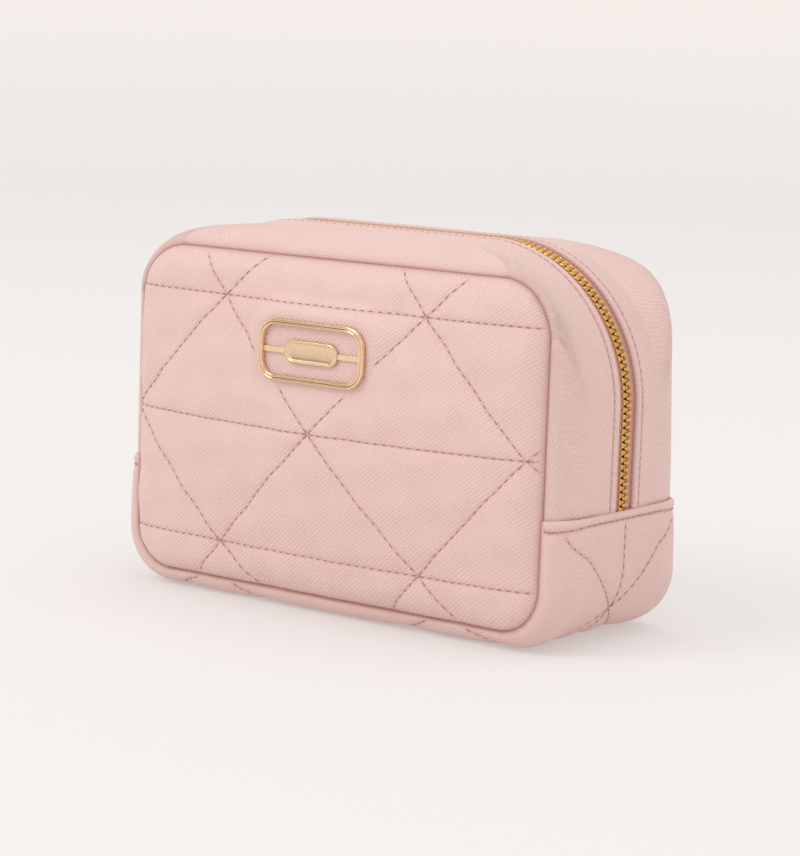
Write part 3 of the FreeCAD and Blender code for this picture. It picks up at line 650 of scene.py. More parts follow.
def zip_point(run, across, height):
    x, z, out_x, out_z = outline_point(run, ZIP, ZIP, STRIP_FOOT, 1)
    return np.stack([x + height * out_x, across + 0 * x, z + height * out_z], axis=-1)


def run_of_level(level):
    """The zip's run, on one side, at a level on its upright part."""
    return ZIP_RUN - (level - STRIP_FOOT)


TAPE_THICKNESS = 0.5
tape_across = np.array([1.6, 1.75, 2.0, 2.3, 2.6, 3.0, 4.0, 5.0, 6.5, 9.0, 14.0])
tape_runs = np.linspace(-ZIP_RUN, ZIP_RUN, 361)
for side, sign in SIDES.items():
    runs, across = np.meshgrid(tape_runs, sign * tape_across, indexing="ij")
    edge = 0.3 * np.exp(-((np.abs(across) - 2.0) / 0.35) ** 2)
    uv = np.stack([runs, across], axis=-1)
    # Painted shade where the tape runs in under its strip.
    crease = 0.7 * np.exp(-np.maximum(SLOT + 0.3 - np.abs(across), 0) / 0.9)
    pieces[f"{side}_zip_tape"] = make_shell(
        f"{side}_zip_tape", zip_point(runs, across, TAPE_THICKNESS / 2 + edge),
        zip_point(runs, across, -TAPE_THICKNESS / 2 - edge), uv, crease)
    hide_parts(f"{side}_zip_tape_upper", f"{side}_zip_tape_lower")
print(f"the zip is {2 * ZIP_RUN:.0f} mm long")

# %% One tooth
TOOTH_SECTIONS = (                    # distance from the zip's centre, length and height there
    (2.95, 1.3, 1.3), (2.85, 1.8, 1.9), (2.6, 2.02, 2.3), (1.8, 2.02, 2.4), (1.45, 1.55, 2.2),
    (1.1, 1.14, 1.85), (0.55, 1.2, 2.05), (0.15, 1.2, 2.1), (-0.2, 0.96, 1.7), (-0.36, 0.5, 0.9),
)
CHAMFER = 0.3                         # share of a section's half width


def tooth_template():
    """Points (along the zip, across, outwards) and faces of one tooth."""
    points = []
    for reach, length, tall in TOOTH_SECTIONS:
        a, b = length / 2, tall / 2
        c = CHAMFER * min(a, b)
        points += [(a, reach, b - c), (a - c, reach, b), (-a + c, reach, b), (-a, reach, b - c),
                   (-a, reach, -b + c), (-a + c, reach, -b), (a - c, reach, -b), (a, reach, -b + c)]
    faces, ring = [], np.arange(8)
    for step in range(len(TOOTH_SECTIONS) - 1):
        low, high = step * 8 + ring, step * 8 + 8 + ring
        faces += np.stack([low, np.roll(low, -1), np.roll(high, -1), high], axis=-1).tolist()
    last = (len(TOOTH_SECTIONS) - 1) * 8
    for first, order in ((0, (3, 2, 1, 0)), (0, (7, 4, 3, 0)), (0, (7, 6, 5, 4)),
                         (last, (0, 1, 2, 3)), (last, (0, 3, 4, 7)), (last, (4, 5, 6, 7))):
        faces.append([first + i for i in order])
    return np.array(points), np.array(faces)


tooth_points, tooth_faces = tooth_template()
print("a tooth has", len(tooth_points), "points")

# %% [markdown]
# Real teeth are all alike and are pressed on one by one. An array along a curve could place them, but
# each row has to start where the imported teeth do, so that the two interlock half a pitch apart.
# Each tooth's points are therefore set straight on the zip's own run.

# %% Set the teeth
LAST_TOOTH = HEM - 5.5                # the right ends run on under the hem


def first_tooth(side):
    """Level of the lowest packed tooth at the left end, above the parked slider."""
    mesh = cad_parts[f"{side}_zip_teeth_lower"].data
    points = np.array([v.co for v in mesh.vertices]) / MM
    return points[points[:, 0] < 0][:, 2].min() + 0.53


for side, sign in SIDES.items():
    stations = np.arange(-run_of_level(first_tooth(side)), run_of_level(LAST_TOOTH), TOOTH_PITCH)
    runs = (stations[:, None] + tooth_points[None, :, 0]).ravel()
    across = np.tile(sign * tooth_points[:, 1], len(stations))
    height = np.tile(tooth_points[:, 2], len(stations))
    points = zip_point(runs, across, height)
    firsts = len(tooth_points) * np.arange(len(stations))
    faces = (tooth_faces[None] + firsts[:, None, None]).reshape(-1, 4)
    teeth = make_piece(f"{side}_teeth", points, faces, np.stack([runs, across], axis=-1))
    pieces[f"{side}_teeth"] = teeth
    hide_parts(f"{side}_zip_teeth_upper", f"{side}_zip_teeth_lower")
    print(side, "teeth:", len(stations))

# %% [markdown]
# Inside, the raw edges of each seam are wrapped in a soft binding, which shows when a flap is open.

# %% The seam bindings
BINDING_LOW, BINDING_HIGH = box_mm("front_seam_binding_upper")
BINDING_INSET = PANEL["half"] - BINDING_HIGH[0]
binding_section = [(d, f) for d, f in (
    (0.0, 0.6), (0.3, 0.15), (0.9, 0.0), (4.0, 0.0), (7.0, 0.0), (7.6, 0.2), (8.0, 0.7),
    (8.0, 1.8), (7.6, 2.3), (7.0, 2.5), (4.0, 2.5), (0.9, 2.5), (0.3, 2.35), (0.0, 1.9))]


def corner_loop(half, low, high, radii, inset, count):
    """Points x, z on the four corners of a rounded box; radii are its lower and upper ones."""
    loop = []
    for start, upper, side in ((0, 1, 1), (90, 1, -1), (180, 0, -1), (270, 0, 1)):
        radius = radii[upper]
        centre_z = high - radius if upper else low + radius
        for angle in np.radians(np.linspace(start, start + 90, count + 1)):
            loop.append((side * (half - radius) + (radius - inset) * math.cos(angle),
                         centre_z + (radius - inset) * math.sin(angle)))
    return np.array(loop)


def panel_loop(inset, count=40):
    """Points x, z once round the panel's outline, that far inside it, 3 mm apart or less."""
    loop = corner_loop(PANEL["half"], PANEL["base"], PANEL["top"],
                       (PANEL["base_radius"], PANEL["top_radius"]), inset, count)
    ahead = np.roll(loop, -1, axis=0)
    filled = []
    for point, after, step in zip(loop, ahead, np.linalg.norm(ahead - loop, axis=1)):
        parts = max(1, round(step / 3))
        filled += [point + (after - point) * part / parts for part in range(parts)]
    return np.array(filled)


def sweep_round(name, section, loops, y_of):
    """A closed tube: each section point is (inset, forward), swept once round its own loop."""
    rows = [np.column_stack([loop[:, 0], np.full(len(loop), y_of(f)), loop[:, 1]])
            for loop, (_, f) in zip(loops, section)]
    points = np.stack(rows)
    count = points.shape[1]
    index = np.arange(len(section) * count).reshape(len(section), count)
    up, on = np.roll(index, -1, axis=0), np.roll(index, -1, axis=1)
    faces = np.stack([index, up, np.roll(up, -1, axis=1), on], axis=-1).reshape(-1, 4)
    along = np.cumsum(np.r_[0, np.linalg.norm(np.diff(loops[0], axis=0), axis=1)])
    widths = np.cumsum(np.r_[0, np.linalg.norm(np.diff(np.array(section), axis=0), axis=1)])
    uv = np.stack(np.meshgrid(along, widths), axis=-1).reshape(-1, 2)
    return make_piece(name, points.reshape(-1, 3), faces, uv)


reference = panel_loop(BINDING_INSET)


def inset_loop(inset):
    """The reference loop moved further in, keeping its number of points."""
    x, z = reference.T
    upper = z > LATTICE_MIDDLE
    radius = np.where(upper, PANEL["top_radius"], PANEL["base_radius"])
    centre = np.where(upper, PANEL["top"] - radius, PANEL["base"] + radius)
    core_x = np.clip(x, -PANEL["half"] + radius, PANEL["half"] - radius)
    core_z = np.where(upper, np.minimum(z, centre), np.maximum(z, centre))
    away = np.stack([x - core_x, z - core_z], axis=-1)
    away = away / np.linalg.norm(away, axis=1, keepdims=True)
    return reference - away * inset


for side, sign in SIDES.items():
    loops = [inset_loop(inset) for inset, _ in binding_section]
    back = -BINDING_HIGH[1]
    piece = sweep_round(f"{side}_seam_binding", binding_section, loops, lambda f: sign * (back + f))
    pieces[piece.name] = piece
    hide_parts(f"{side}_seam_binding_upper", f"{side}_seam_binding_lower")
print("bindings", [round(v, 1) for v in (BINDING_INSET, BINDING_LOW[1], BINDING_HIGH[1])])

# %% [markdown]
# ## The stitches
# Each stitch is a short bowed length of thread whose two ends dive into the leather. A run of stitches
# is given as points on a surface; it is measured there, cut into equal pitches, and a stitch is laid
# in each. All the stitches of one line of work are one piece.

# %% One stitch
THREAD = 0.25                         # radius of the thread
DIVE = 0.15                           # how far its ends go into the leather
stitch_rings = np.array([-1.0, -0.86, -0.6, -0.25, 0.25, 0.6, 0.86, 1.0])
stitch_sides = np.arange(6) * math.pi / 3


def stitch_template(length, rise):
    """Points (along, across, outwards) of one stitch, and its faces."""
    bow = np.sqrt(np.maximum(1 - stitch_rings ** 2, 0))
    lift = rise * bow - (THREAD + DIVE) * np.abs(stitch_rings) ** 3
    thick = THREAD * (0.45 + 0.55 * bow)
    points = np.stack([
        np.repeat(stitch_rings * length / 2, 6),
        np.outer(thick, np.cos(stitch_sides)).ravel(),
        np.repeat(lift, 6) + np.outer(thick, np.sin(stitch_sides)).ravel(),
    ], axis=-1)
    faces, ring = [], np.arange(6)
    for step in range(len(stitch_rings) - 1):
        low, high = step * 6 + ring, step * 6 + 6 + ring
        faces += np.stack([low, high, np.roll(high, -1), np.roll(low, -1)], axis=-1).tolist()
    last = (len(stitch_rings) - 1) * 6
    faces += [[0, 1, 2, 3], [0, 3, 4, 5], [last + 3, last + 2, last + 1, last],
              [last + 5, last + 4, last + 3, last]]
    return points, np.array(faces)


def stations_on(run, pitch):
    """Places at half pitches along a run of 2-D points, measured where the run starts."""
    steps = np.r_[0, np.cumsum(np.linalg.norm(np.diff(run, axis=0), axis=1))]
    places = np.arange(pitch / 2, steps[-1], pitch)
    return np.stack([np.interp(places, steps, run[:, k]) for k in (0, 1)], axis=-1)


def sew(name, surface, runs, pitch, length, facing, rise=0.2):
    """Lays stitches along runs of 2-D points on surface(a, b); facing says which way is out."""
    template, template_faces = stitch_template(length, rise)
    points, faces, uv, count = [], [], [], 0
    for run in runs:
        run = np.asarray(run, float)
        places = stations_on(run, pitch)
        ahead = np.array([run[-1] - run[0]]) / np.linalg.norm(run[-1] - run[0])
        here = surface(*places.T)
        along = surface(*(places + 0.4 * ahead).T) - surface(*(places - 0.4 * ahead).T)
        a, b = (surface(*(places + step).T) - surface(*(places - step).T)
                for step in (np.array([[0.5, 0]]), np.array([[0, 0.5]])))
        out = np.cross(a, b) * facing
        along, out = (v / np.linalg.norm(v, axis=1, keepdims=True) for v in (along, out))
        beside = np.cross(out, along)
        basis = np.stack([along, beside, out], axis=1)
        points.append((here[:, None] + np.einsum("pk,nkc->npc", template, basis)).reshape(-1, 3))
        firsts = len(template) * (count + np.arange(len(places)))
        faces.append((template_faces[None] + firsts[:, None, None]).reshape(-1, 4))
        uv.append(np.tile(template[:, :2], (len(places), 1)))
        count += len(places)
    pieces[name] = make_piece(name, np.concatenate(points), np.concatenate(faces), np.concatenate(uv))
    print(name, count, "stitches")
    return pieces[name]


# %% [markdown]
# The quilting runs start on a needle hole, so that stitches and holes agree with the grooves of the
# panel. A run is cut where the badge covers it.

# %% Sew the panels
def lattice_runs():
    """Start and end of each line of the lattice inside the panel."""
    runs, reach = [], PANEL["half"] + 4
    low, high = PANEL["base"] - LATTICE_MIDDLE, PANEL["top"] - LATTICE_MIDDLE
    for k in (-1, 0, 1):
        runs.append(((-reach, k * ROW_PITCH), (reach, k * ROW_PITCH)))
        for slope in (1, -1):
            crossing = 2 * ROW_PITCH * k
            first, last = crossing + low * slope, crossing + high * slope
            runs.append(((first, low), (last, high)))
    return [np.array(run) + [0, LATTICE_MIDDLE] for run in runs]


def trim(run, keep, step):
    """Cuts a straight run at whole steps from its lattice origin and drops the steps not kept."""
    start, end = run
    length = np.linalg.norm(end - start)
    ahead = (end - start) / length
    origin = -start @ ahead + np.array([0, LATTICE_MIDDLE]) @ ahead
    first = math.ceil(-origin / step)
    places = np.arange(first, math.floor((length - origin) / step)) * step + origin
    parts, part = [], []
    for place in places:
        a, b = start + ahead * place, start + ahead * (place + step)
        if keep(a) and keep(b):
            part = part or [a]
            part.append(b)
        elif part:
            parts, part = parts + [part], []
    return parts + ([part] if part else [])


leather_x = np.linspace(-130, 130, 1041)
lattice_x = leather_x + LATTICE_DRIFT * smooth((leather_x - ROW_PITCH) / ROW_PITCH)


def from_lattice(x):
    """The leather's x for an x on the even lattice."""
    return np.interp(x, lattice_x, leather_x)


SEAM_CLEAR = 0.25                     # stitches come this near to the seam
BADGE_COVERS = 0.999                  # and stop where the leather lies this flat behind the badge


def on_leather(badge):
    """A test of whether a point of the lattice is on open leather."""
    def keep(point):
        x, z = from_lattice(np.array([point[0]])), np.array([point[1]])
        inside = abs(x[0]) < PANEL["half"] and PANEL["base"] < point[1] < PANEL["top"]
        covered = badge and badge_pull(x, z)[0] > BADGE_COVERS
        return inside and from_edge(x, z)[0] > SEAM_CLEAR and not covered
    return keep


for side, sign in SIDES.items():
    badge = side == "front"
    runs = [part for run in lattice_runs() for part in trim(run, on_leather(badge), STITCH)]

    def leather(x, z):
        x = from_lattice(x)
        return np.stack([x, sign * panel_face(x, z, badge)[0], z], axis=-1)

    sew(f"{side}_quilt_stitches", leather, runs, STITCH, STITCH_LENGTH, facing=-sign)

# %% [markdown]
# The strips have one line of topstitching beside the zip, the hems one line below their edge, and the
# base a middle row and its diagonals. They start on the needle holes of the surface under them, and
# each stitch stands on that surface, so that none floats or sinks.

# %% Sew the strips, the hems and the base
for side, sign in SIDES.items():
    end = ARCH_RUN - (HEM - STRIP_FOOT) - 0.6      # just above the hem
    first = -TOPSTITCH_PITCH * math.floor(end / TOPSTITCH_PITCH)
    line = np.array([[first, sign * (SLOT + TOPSTITCH)], [end, sign * (SLOT + TOPSTITCH)]])

    def on_strip(run, across):
        return strip_point(run, across, strip_surface(run, across)[0])

    sew(f"{side}_strip_stitches", on_strip, [line], TOPSTITCH_PITCH, TOPSTITCH_LENGTH,
        facing=1)


def on_base(run, across):
    return base_point(run, across, base_surface(run, across)[0])


BASE_CLEAR = 2.6                      # the base strip's stitches stop this far from its seams
hem_reach = STITCH * math.floor((ACROSS_END - BASE_CLEAR) / STITCH)
hem_runs = [[(s * (TROUGH_RUN - HEM_STITCH), -hem_reach), (s * (TROUGH_RUN - HEM_STITCH), hem_reach)]
            for s in (-1, 1)]
middle_reach = STITCH * math.floor((TROUGH_RUN - HEM_STITCH - 0.5) / STITCH)
base_quilt = [[(-middle_reach, 0), (middle_reach, 0)]]
diagonal = STITCH * math.sqrt(0.5)
for node in (-NODE_RUN, 0, NODE_RUN):
    for slope in (-1, 1):
        for way in (-1, 1):
            reach = ACROSS_END - BASE_CLEAR
            if way * np.sign(node) > 0:
                reach = min(reach, TROUGH_RUN - HEM_STITCH - 0.8 - abs(node))
            reach = diagonal * math.floor(reach / diagonal)
            base_quilt.append([(node, 0), (node + way * reach, slope * reach)])
for name, runs in (("hem_stitches", hem_runs), ("base_quilt_stitches", base_quilt)):
    sew(name, on_base, runs, STITCH, STITCH_LENGTH, facing=-1)

# %% [markdown]
# ## The badge
# The badge is a plain rounded ring of polished metal: two parallel rods with a narrow channel between
# them, cast in one. Inside it two bridges hold a blank tablet.

# %% Make the badge's ring
BADGE_BAR, BADGE_RADIUS = 2.3, 8.0    # width of the ring's bar, radius of its corners
ROD_SHAPE = 1.1875                    # a rod's height over its half width
CHANNEL_DEPTH = 1.15
BADGE_RISE = BADGE_HIGH[1] - BADGE_LOW[1]


def ring_section():
    """(distance in from the ring's outside, forward) round the section of the ring's bar."""
    rod, points = BADGE_BAR / 4, [(0.12, 0.0), (0.0, 0.25)]
    tall = ROD_SHAPE * rod
    for middle in (rod, 3 * rod):
        for angle in np.radians(np.linspace(165, 15, 9)):
            points.append((middle + rod * math.cos(angle),
                           BADGE_RISE - tall + tall * math.sin(angle)))
        if middle == rod:
            points.append((2 * rod, BADGE_RISE - CHANNEL_DEPTH))
    return points + [(BADGE_BAR, 0.25), (BADGE_BAR - 0.12, 0.0)]


def badge_loop(inset):
    return corner_loop(BADGE_HIGH[0], BADGE_LOW[2], BADGE_HIGH[2], (BADGE_RADIUS,) * 2, inset, 20)


section = ring_section()
badge_frame = sweep_round("badge_frame", section, [badge_loop(i) for i, _ in section],
                          lambda forward: -BADGE_BACK - forward)
pieces["badge_frame"] = badge_frame
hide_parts("badge_ring")
print("ring section points:", len(section))

# %% [markdown]
# The blank tablet has a raised rim round a slightly hollow face. It is built of loops that step in
# from its outline, closed by one flat face behind and one in front.

# %% Make the badge's tablet
TABLET_LOW, TABLET_HIGH = box_mm("badge_plaque")
TABLET_STEPS = (                      # distance in from the outline, forward of the badge's back
    (0.15, 0.0), (0.0, 0.15), (0.0, 1.1), (0.1, 1.42), (0.32, 1.63), (0.6, 1.7), (0.88, 1.63),
    (1.08, 1.42), (1.2, 1.2), (1.45, 1.1), (2.4, 1.04), (3.4, 1.02), (4.1, 1.01))


def tablet_loop(inset, count=14):
    radius = (TABLET_HIGH[2] - TABLET_LOW[2]) / 2
    half_x, reach, loop = TABLET_HIGH[0] - radius, radius - inset, []
    for start, side in ((-90, 1), (90, -1)):
        for angle in np.radians(np.linspace(start, start + 180, 2 * count + 1)):
            loop.append((side * half_x + reach * math.cos(angle),
                         BADGE_MIDDLE + reach * math.sin(angle)))
    return np.array(loop)


loops = [tablet_loop(inset) for inset, _ in TABLET_STEPS]
count = len(loops[0])
points = np.concatenate([
    np.column_stack([loop[:, 0], np.full(count, -BADGE_BACK - forward), loop[:, 1]])
    for loop, (_, forward) in zip(loops, TABLET_STEPS)])
faces = []
for step in range(len(loops) - 1):
    low, high = step * count + np.arange(count), (step + 1) * count + np.arange(count)
    faces += np.stack([low, np.roll(low, -1), np.roll(high, -1), high], axis=-1).tolist()
faces += [list(range(count))[::-1], [(len(loops) - 1) * count + i for i in range(count)]]
pieces["badge_tablet"] = make_piece("badge_tablet", points, faces)
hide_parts("badge_plaque")
print("tablet points:", len(points))

# %% [markdown]
# The bridges, prongs, washers, slider and pull are small castings whose shapes are right as imported.
# A cast edge is never knife sharp, so a weld, a narrow bevel and weighted normals round them off, and
# light runs along the edges.

# %% Soften the cast parts that stay as CAD pieces
CAST = {"badge_bridges": 0.12, "badge_prongs": 0.1, "badge_washers": 0.1,
        "zip_slider": 0.22, "zip_pull": 0.25}


def soften(node, width):
    """Welds the CAD mesh's split corners and rounds its edges; the mesh itself is not touched."""
    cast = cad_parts[node]
    weld = cast.modifiers.new("weld", "WELD")
    weld.merge_threshold = 0.00001
    bevel = cast.modifiers.new("rounded edges", "BEVEL")
    bevel.width, bevel.segments, bevel.limit_method = width * MM, 3, "ANGLE"
    bevel.angle_limit = math.radians(50)
    bevel.harden_normals = False
    smoothed = cast.modifiers.new("even shading", "WEIGHTED_NORMAL")
    smoothed.keep_sharp = False


for node, width in CAST.items():
    soften(node, width)
print("softened", sorted(CAST))

# %% [markdown]
# ## Finishes
# Effects that several finishes share are node groups, built once. Each puts out heights, masks or
# colours that vary over the surface; the shader itself stays in the material.

# %% Helpers for node groups
COLOUR, NUMBER, VECTOR = "NodeSocketColor", "NodeSocketFloat", "NodeSocketVector"


def new_group(name, inputs, outputs):
    tree = bpy.data.node_groups.new(name, "ShaderNodeTree")
    for label, kind, value in inputs:
        socket = tree.interface.new_socket(name=label, in_out="INPUT", socket_type=kind)
        if value is not None:
            socket.default_value = value
    for label, kind in outputs:
        tree.interface.new_socket(name=label, in_out="OUTPUT", socket_type=kind)
    return tree, tree.nodes.new("NodeGroupInput").outputs, tree.nodes.new("NodeGroupOutput").inputs


def put(tree, value, socket):
    """Links an output to a socket, or sets the socket to a plain value."""
    if isinstance(value, bpy.types.NodeSocket):
        tree.links.new(value, socket)
    else:
        socket.default_value = value


def maths(tree, operation, *values):
    node = tree.nodes.new("ShaderNodeMath")
    node.operation = operation
    for value, socket in zip(values, node.inputs):
        put(tree, value, socket)
    return node.outputs[0]


def times(tree, first, second):
    return maths(tree, "MULTIPLY", first, second)


def plus(tree, first, second):
    return maths(tree, "ADD", first, second)


def mixed(tree, share, first, second):
    node = tree.nodes.new("ShaderNodeMix")
    node.data_type = "RGBA"
    put(tree, share, node.inputs[0])
    put(tree, first, node.inputs[6])
    put(tree, second, node.inputs[7])
    return node.outputs[2]


def clouds(tree, vector, scale, detail=2.0, roughness=0.5):
    node = tree.nodes.new("ShaderNodeTexNoise")
    put(tree, vector, node.inputs["Vector"])
    put(tree, scale, node.inputs["Scale"])
    node.inputs["Detail"].default_value = detail
    node.inputs["Roughness"].default_value = roughness
    return node.outputs["Fac"]


def place_group(tree, group, **values):
    node = tree.nodes.new("ShaderNodeGroup")
    node.node_tree = group
    for label, value in values.items():
        put(tree, value, node.inputs[label.replace("_", " ")])
    return node.outputs


print("node helpers ready")

# %% [markdown]
# The leather carries a cross-hatched emboss: two families of fine cuts that cross at a steep angle,
# each a little wavy and stronger in some patches than in others.

# %% The cross-hatched emboss
def hatching(tree, vector, angle, pitch, waver):
    """A wave across parallel lines at an angle; vector is in metres."""
    parts = tree.nodes.new("ShaderNodeSeparateXYZ")
    put(tree, vector, parts.inputs[0])
    across = plus(tree, times(tree, parts.outputs[0], -math.sin(angle)),
                   times(tree, parts.outputs[1], math.cos(angle)))
    turns = plus(tree, maths(tree, "DIVIDE", across, pitch), waver)
    return maths(tree, "SINE", times(tree, turns, 2 * math.pi))


emboss, put_in, put_out = new_group(
    "Cross-hatched emboss",
    [("Vector", VECTOR, None), ("Pitch", NUMBER, 0.0011), ("Waviness", NUMBER, 0.5)],
    [("Height", NUMBER), ("Cuts", NUMBER)])
waver = times(emboss, clouds(emboss, put_in["Vector"], 260.0), put_in["Waviness"])
first_cuts = hatching(emboss, put_in["Vector"], math.radians(38), put_in["Pitch"], waver)
second_cuts = hatching(emboss, put_in["Vector"], math.radians(-52), put_in["Pitch"],
                       times(emboss, waver, -1.3))
patches = clouds(emboss, put_in["Vector"], 130.0, 1.0)
leaning = maths(emboss, "SMOOTH_MIN", times(emboss, patches, 1.5), 0.85, 0.2)
ridges = plus(emboss, times(emboss, first_cuts, leaning),
               times(emboss, second_cuts, maths(emboss, "SUBTRACT", 1.25, leaning)))
height = plus(emboss, times(emboss, ridges, 0.36), 0.5)
put(emboss, height, put_out["Height"])
cuts = maths(emboss, "SMOOTH_MIN", maths(emboss, "SUBTRACT", 1.0, height), 1.0, 0.1)
put(emboss, cuts, put_out["Cuts"])
print("emboss nodes:", len(emboss.nodes))

# %% [markdown]
# Seams, grooves and needle holes are painted darker than the open leather, as painted shade where
# light does not reach in. `Seam shade` mixes that shade colour in by the crease values that the meshes
# carry.
# `Handling` adds the slow, faint change of colour and gloss that any used surface has.

# %% Seam shade and handling
painted_seam_shade, put_in, put_out = new_group(
    "Seam shade",
    [("Color", COLOUR, None), ("Shade", COLOUR, None), ("Amount", NUMBER, 0.8)],
    [("Color", COLOUR)])
# The attribute read here is the mask of painted shade.
shade_mask = painted_seam_shade.nodes.new("ShaderNodeAttribute")
shade_mask.attribute_name = "crease"
share = times(painted_seam_shade, shade_mask.outputs["Fac"], put_in["Amount"])
put(painted_seam_shade, mixed(painted_seam_shade, share, put_in["Color"], put_in["Shade"]), put_out["Color"])

handling, put_in, put_out = new_group(
    "Handling", [("Vector", VECTOR, None), ("Scale", NUMBER, 18.0), ("Amount", NUMBER, 1.0)],
    [("Patches", NUMBER), ("Grain", NUMBER)])
put(handling, times(handling, clouds(handling, put_in["Vector"], put_in["Scale"]),
                    put_in["Amount"]), put_out["Patches"])
fine = times(handling, put_in["Scale"], 130.0)
put(handling, clouds(handling, put_in["Vector"], fine, 3.0), put_out["Grain"])
print("groups:", [group.name for group in bpy.data.node_groups])

# %% [markdown]
# In cloth the warp goes over and under the weft. Two waves multiplied give that weave, with gaps where
# they cross, and a fine noise is its fuzz. Handled metal has hairlines, which a noise stretched in one
# direction gives. Images could do the same, but nodes stay sharp at any distance.

# %% Woven cloth, and scuffed metal
weave, put_in, put_out = new_group(
    "Woven cloth", [("Vector", VECTOR, None), ("Pitch", NUMBER, 0.0006)],
    [("Height", NUMBER), ("Gaps", NUMBER)])
warp = hatching(weave, put_in["Vector"], 0.0, put_in["Pitch"], 0.0)
weft = hatching(weave, put_in["Vector"], math.pi / 2, put_in["Pitch"], 0.0)
plain = plus(weave, times(weave, times(weave, warp, weft), 0.35), 0.5)
fuzz = times(weave, clouds(weave, put_in["Vector"], 2600.0, 3.0), 0.3)
put(weave, plus(weave, plain, fuzz), put_out["Height"])
put(weave, maths(weave, "SUBTRACT", 1.0, plain), put_out["Gaps"])

scuffs, put_in, put_out = new_group(
    "Fine scuffs", [("Vector", VECTOR, None), ("Amount", NUMBER, 0.1)],
    [("Roughness", NUMBER), ("Height", NUMBER)])
stretch = scuffs.nodes.new("ShaderNodeMapping")
stretch.inputs["Scale"].default_value = (400.0, 4000.0, 4000.0)
put(scuffs, put_in["Vector"], stretch.inputs["Vector"])
lines = clouds(scuffs, stretch.outputs[0], 1.0, 3.0, 0.6)
put(scuffs, times(scuffs, lines, put_in["Amount"]), put_out["Roughness"])
put(scuffs, lines, put_out["Height"])
print("groups:", [group.name for group in bpy.data.node_groups])

# %% [markdown]
# A material starts from one helper that makes a Principled shader, sets its constants on its own
# sockets, and returns the tree. What varies over the surface is then linked to colour, roughness and
# the height of a bump.

# %% Start a material
def new_material(name, **constants):
    material = bpy.data.materials.new(name)
    material.use_nodes = True
    shader = material.node_tree.nodes["Principled BSDF"]
    for label, value in constants.items():
        shader.inputs[label.replace("_", " ")].default_value = value
    return material, material.node_tree, shader


def coordinates(tree, kind):
    """The cloth UV map, or the object's own position."""
    if kind == "UV":
        node = tree.nodes.new("ShaderNodeUVMap")
        node.uv_map = "cloth"
        return node.outputs[0]
    return tree.nodes.new("ShaderNodeTexCoord").outputs["Object"]


def bump(tree, shader, height, distance, strength=1.0):
    node = tree.nodes.new("ShaderNodeBump")
    node.inputs["Distance"].default_value = distance
    node.inputs["Strength"].default_value = strength
    put(tree, height, node.inputs["Height"])
    put(tree, node.outputs["Normal"], shader.inputs["Normal"])


print("material helpers ready")

# %% [markdown]
# The leather is coated: a pale pink layer with a soft gloss over the emboss. A Principled shader with a
# thin coat and a touch of sheen gives that. The emboss drives bump, colour and roughness together: its
# cuts are rougher, and their colour is darkened as painted shade in the recesses, so that they look
# deeper and drier than the ridges between them.

# %% The pale pink leather
ROSE = (0.775, 0.545, 0.505, 1)
ROSE_PALE = (0.83, 0.625, 0.585, 1)
ROSE_CUT_SHADE = (0.70, 0.465, 0.43, 1)
# The colour of painted shade in seams, grooves and needle holes.
PAINTED_SHADE_ROSE = (0.36, 0.12, 0.11, 1)

leather_pink, tree, shader = new_material(
    "leather_pink", IOR=1.48, Coat_Weight=0.08, Coat_Roughness=0.38, Sheen_Weight=0.06)
flat_cloth, solid = coordinates(tree, "UV"), coordinates(tree, "Object")
hatch = place_group(tree, emboss, Vector=flat_cloth, Pitch=0.0013, Waviness=0.7)
touch = place_group(tree, handling, Vector=solid, Scale=16.0, Amount=1.0)
base = mixed(tree, touch["Patches"], ROSE_PALE, ROSE)
# Painted shade in the emboss's cuts.
base = mixed(tree, times(tree, hatch["Cuts"], 0.6), base, ROSE_CUT_SHADE)
# Painted shade in the seams, grooves and needle holes, by the mesh's crease mask.
shaded = place_group(tree, painted_seam_shade, Color=base, Shade=PAINTED_SHADE_ROSE, Amount=0.72)
put(tree, shaded["Color"], shader.inputs["Base Color"])
gloss = plus(tree, 0.40, times(tree, touch["Patches"], 0.14))
gloss = plus(tree, gloss, times(tree, hatch["Cuts"], 0.16))
put(tree, gloss, shader.inputs["Roughness"])
relief = plus(tree, hatch["Height"], times(tree, touch["Grain"], 0.25))
bump(tree, shader, relief, 0.00025)
print("leather nodes:", len(tree.nodes))

# %% [markdown]
# Thread, tape, binding and lining are all woven, so one function makes them, each with its own
# colours, pitch, depth and gloss. The strips' thread is paler than the quilting's.

# %% Thread, tape, binding and lining
def cloth_material(name, colour, gap_shade_and_wear, pitch, depth, roughness, sheen):
    """Woven cloth or thread, with painted shade in the gaps of its weave. Sewn pieces have a cloth map
    and a crease mask of painted shade, CAD pieces haven't.
    """
    sewn = name != "lining_base"
    material, tree, shader = new_material(name, IOR=1.45, Sheen_Weight=sheen, Sheen_Roughness=0.5)
    vector = coordinates(tree, "UV" if sewn else "Object")
    woven = place_group(tree, weave, Vector=vector, Pitch=pitch)
    touch = place_group(tree, handling, Vector=coordinates(tree, "Object"), Scale=24.0)
    # Painted shade in the gaps of the weave.
    base = mixed(tree, woven["Gaps"], (*colour, 1), (*gap_shade_and_wear, 1))
    base = mixed(tree, times(tree, touch["Patches"], 0.25), base, (*gap_shade_and_wear, 1))
    if sewn:
        # Painted shade in seams and needle holes, as on the leather.
        base = place_group(tree, painted_seam_shade, Color=base, Shade=PAINTED_SHADE_ROSE, Amount=0.8)["Color"]
    put(tree, base, shader.inputs["Base Color"])
    put(tree, plus(tree, roughness, times(tree, touch["Patches"], 0.12)),
        shader.inputs["Roughness"])
    bump(tree, shader, woven["Height"], depth)
    return material
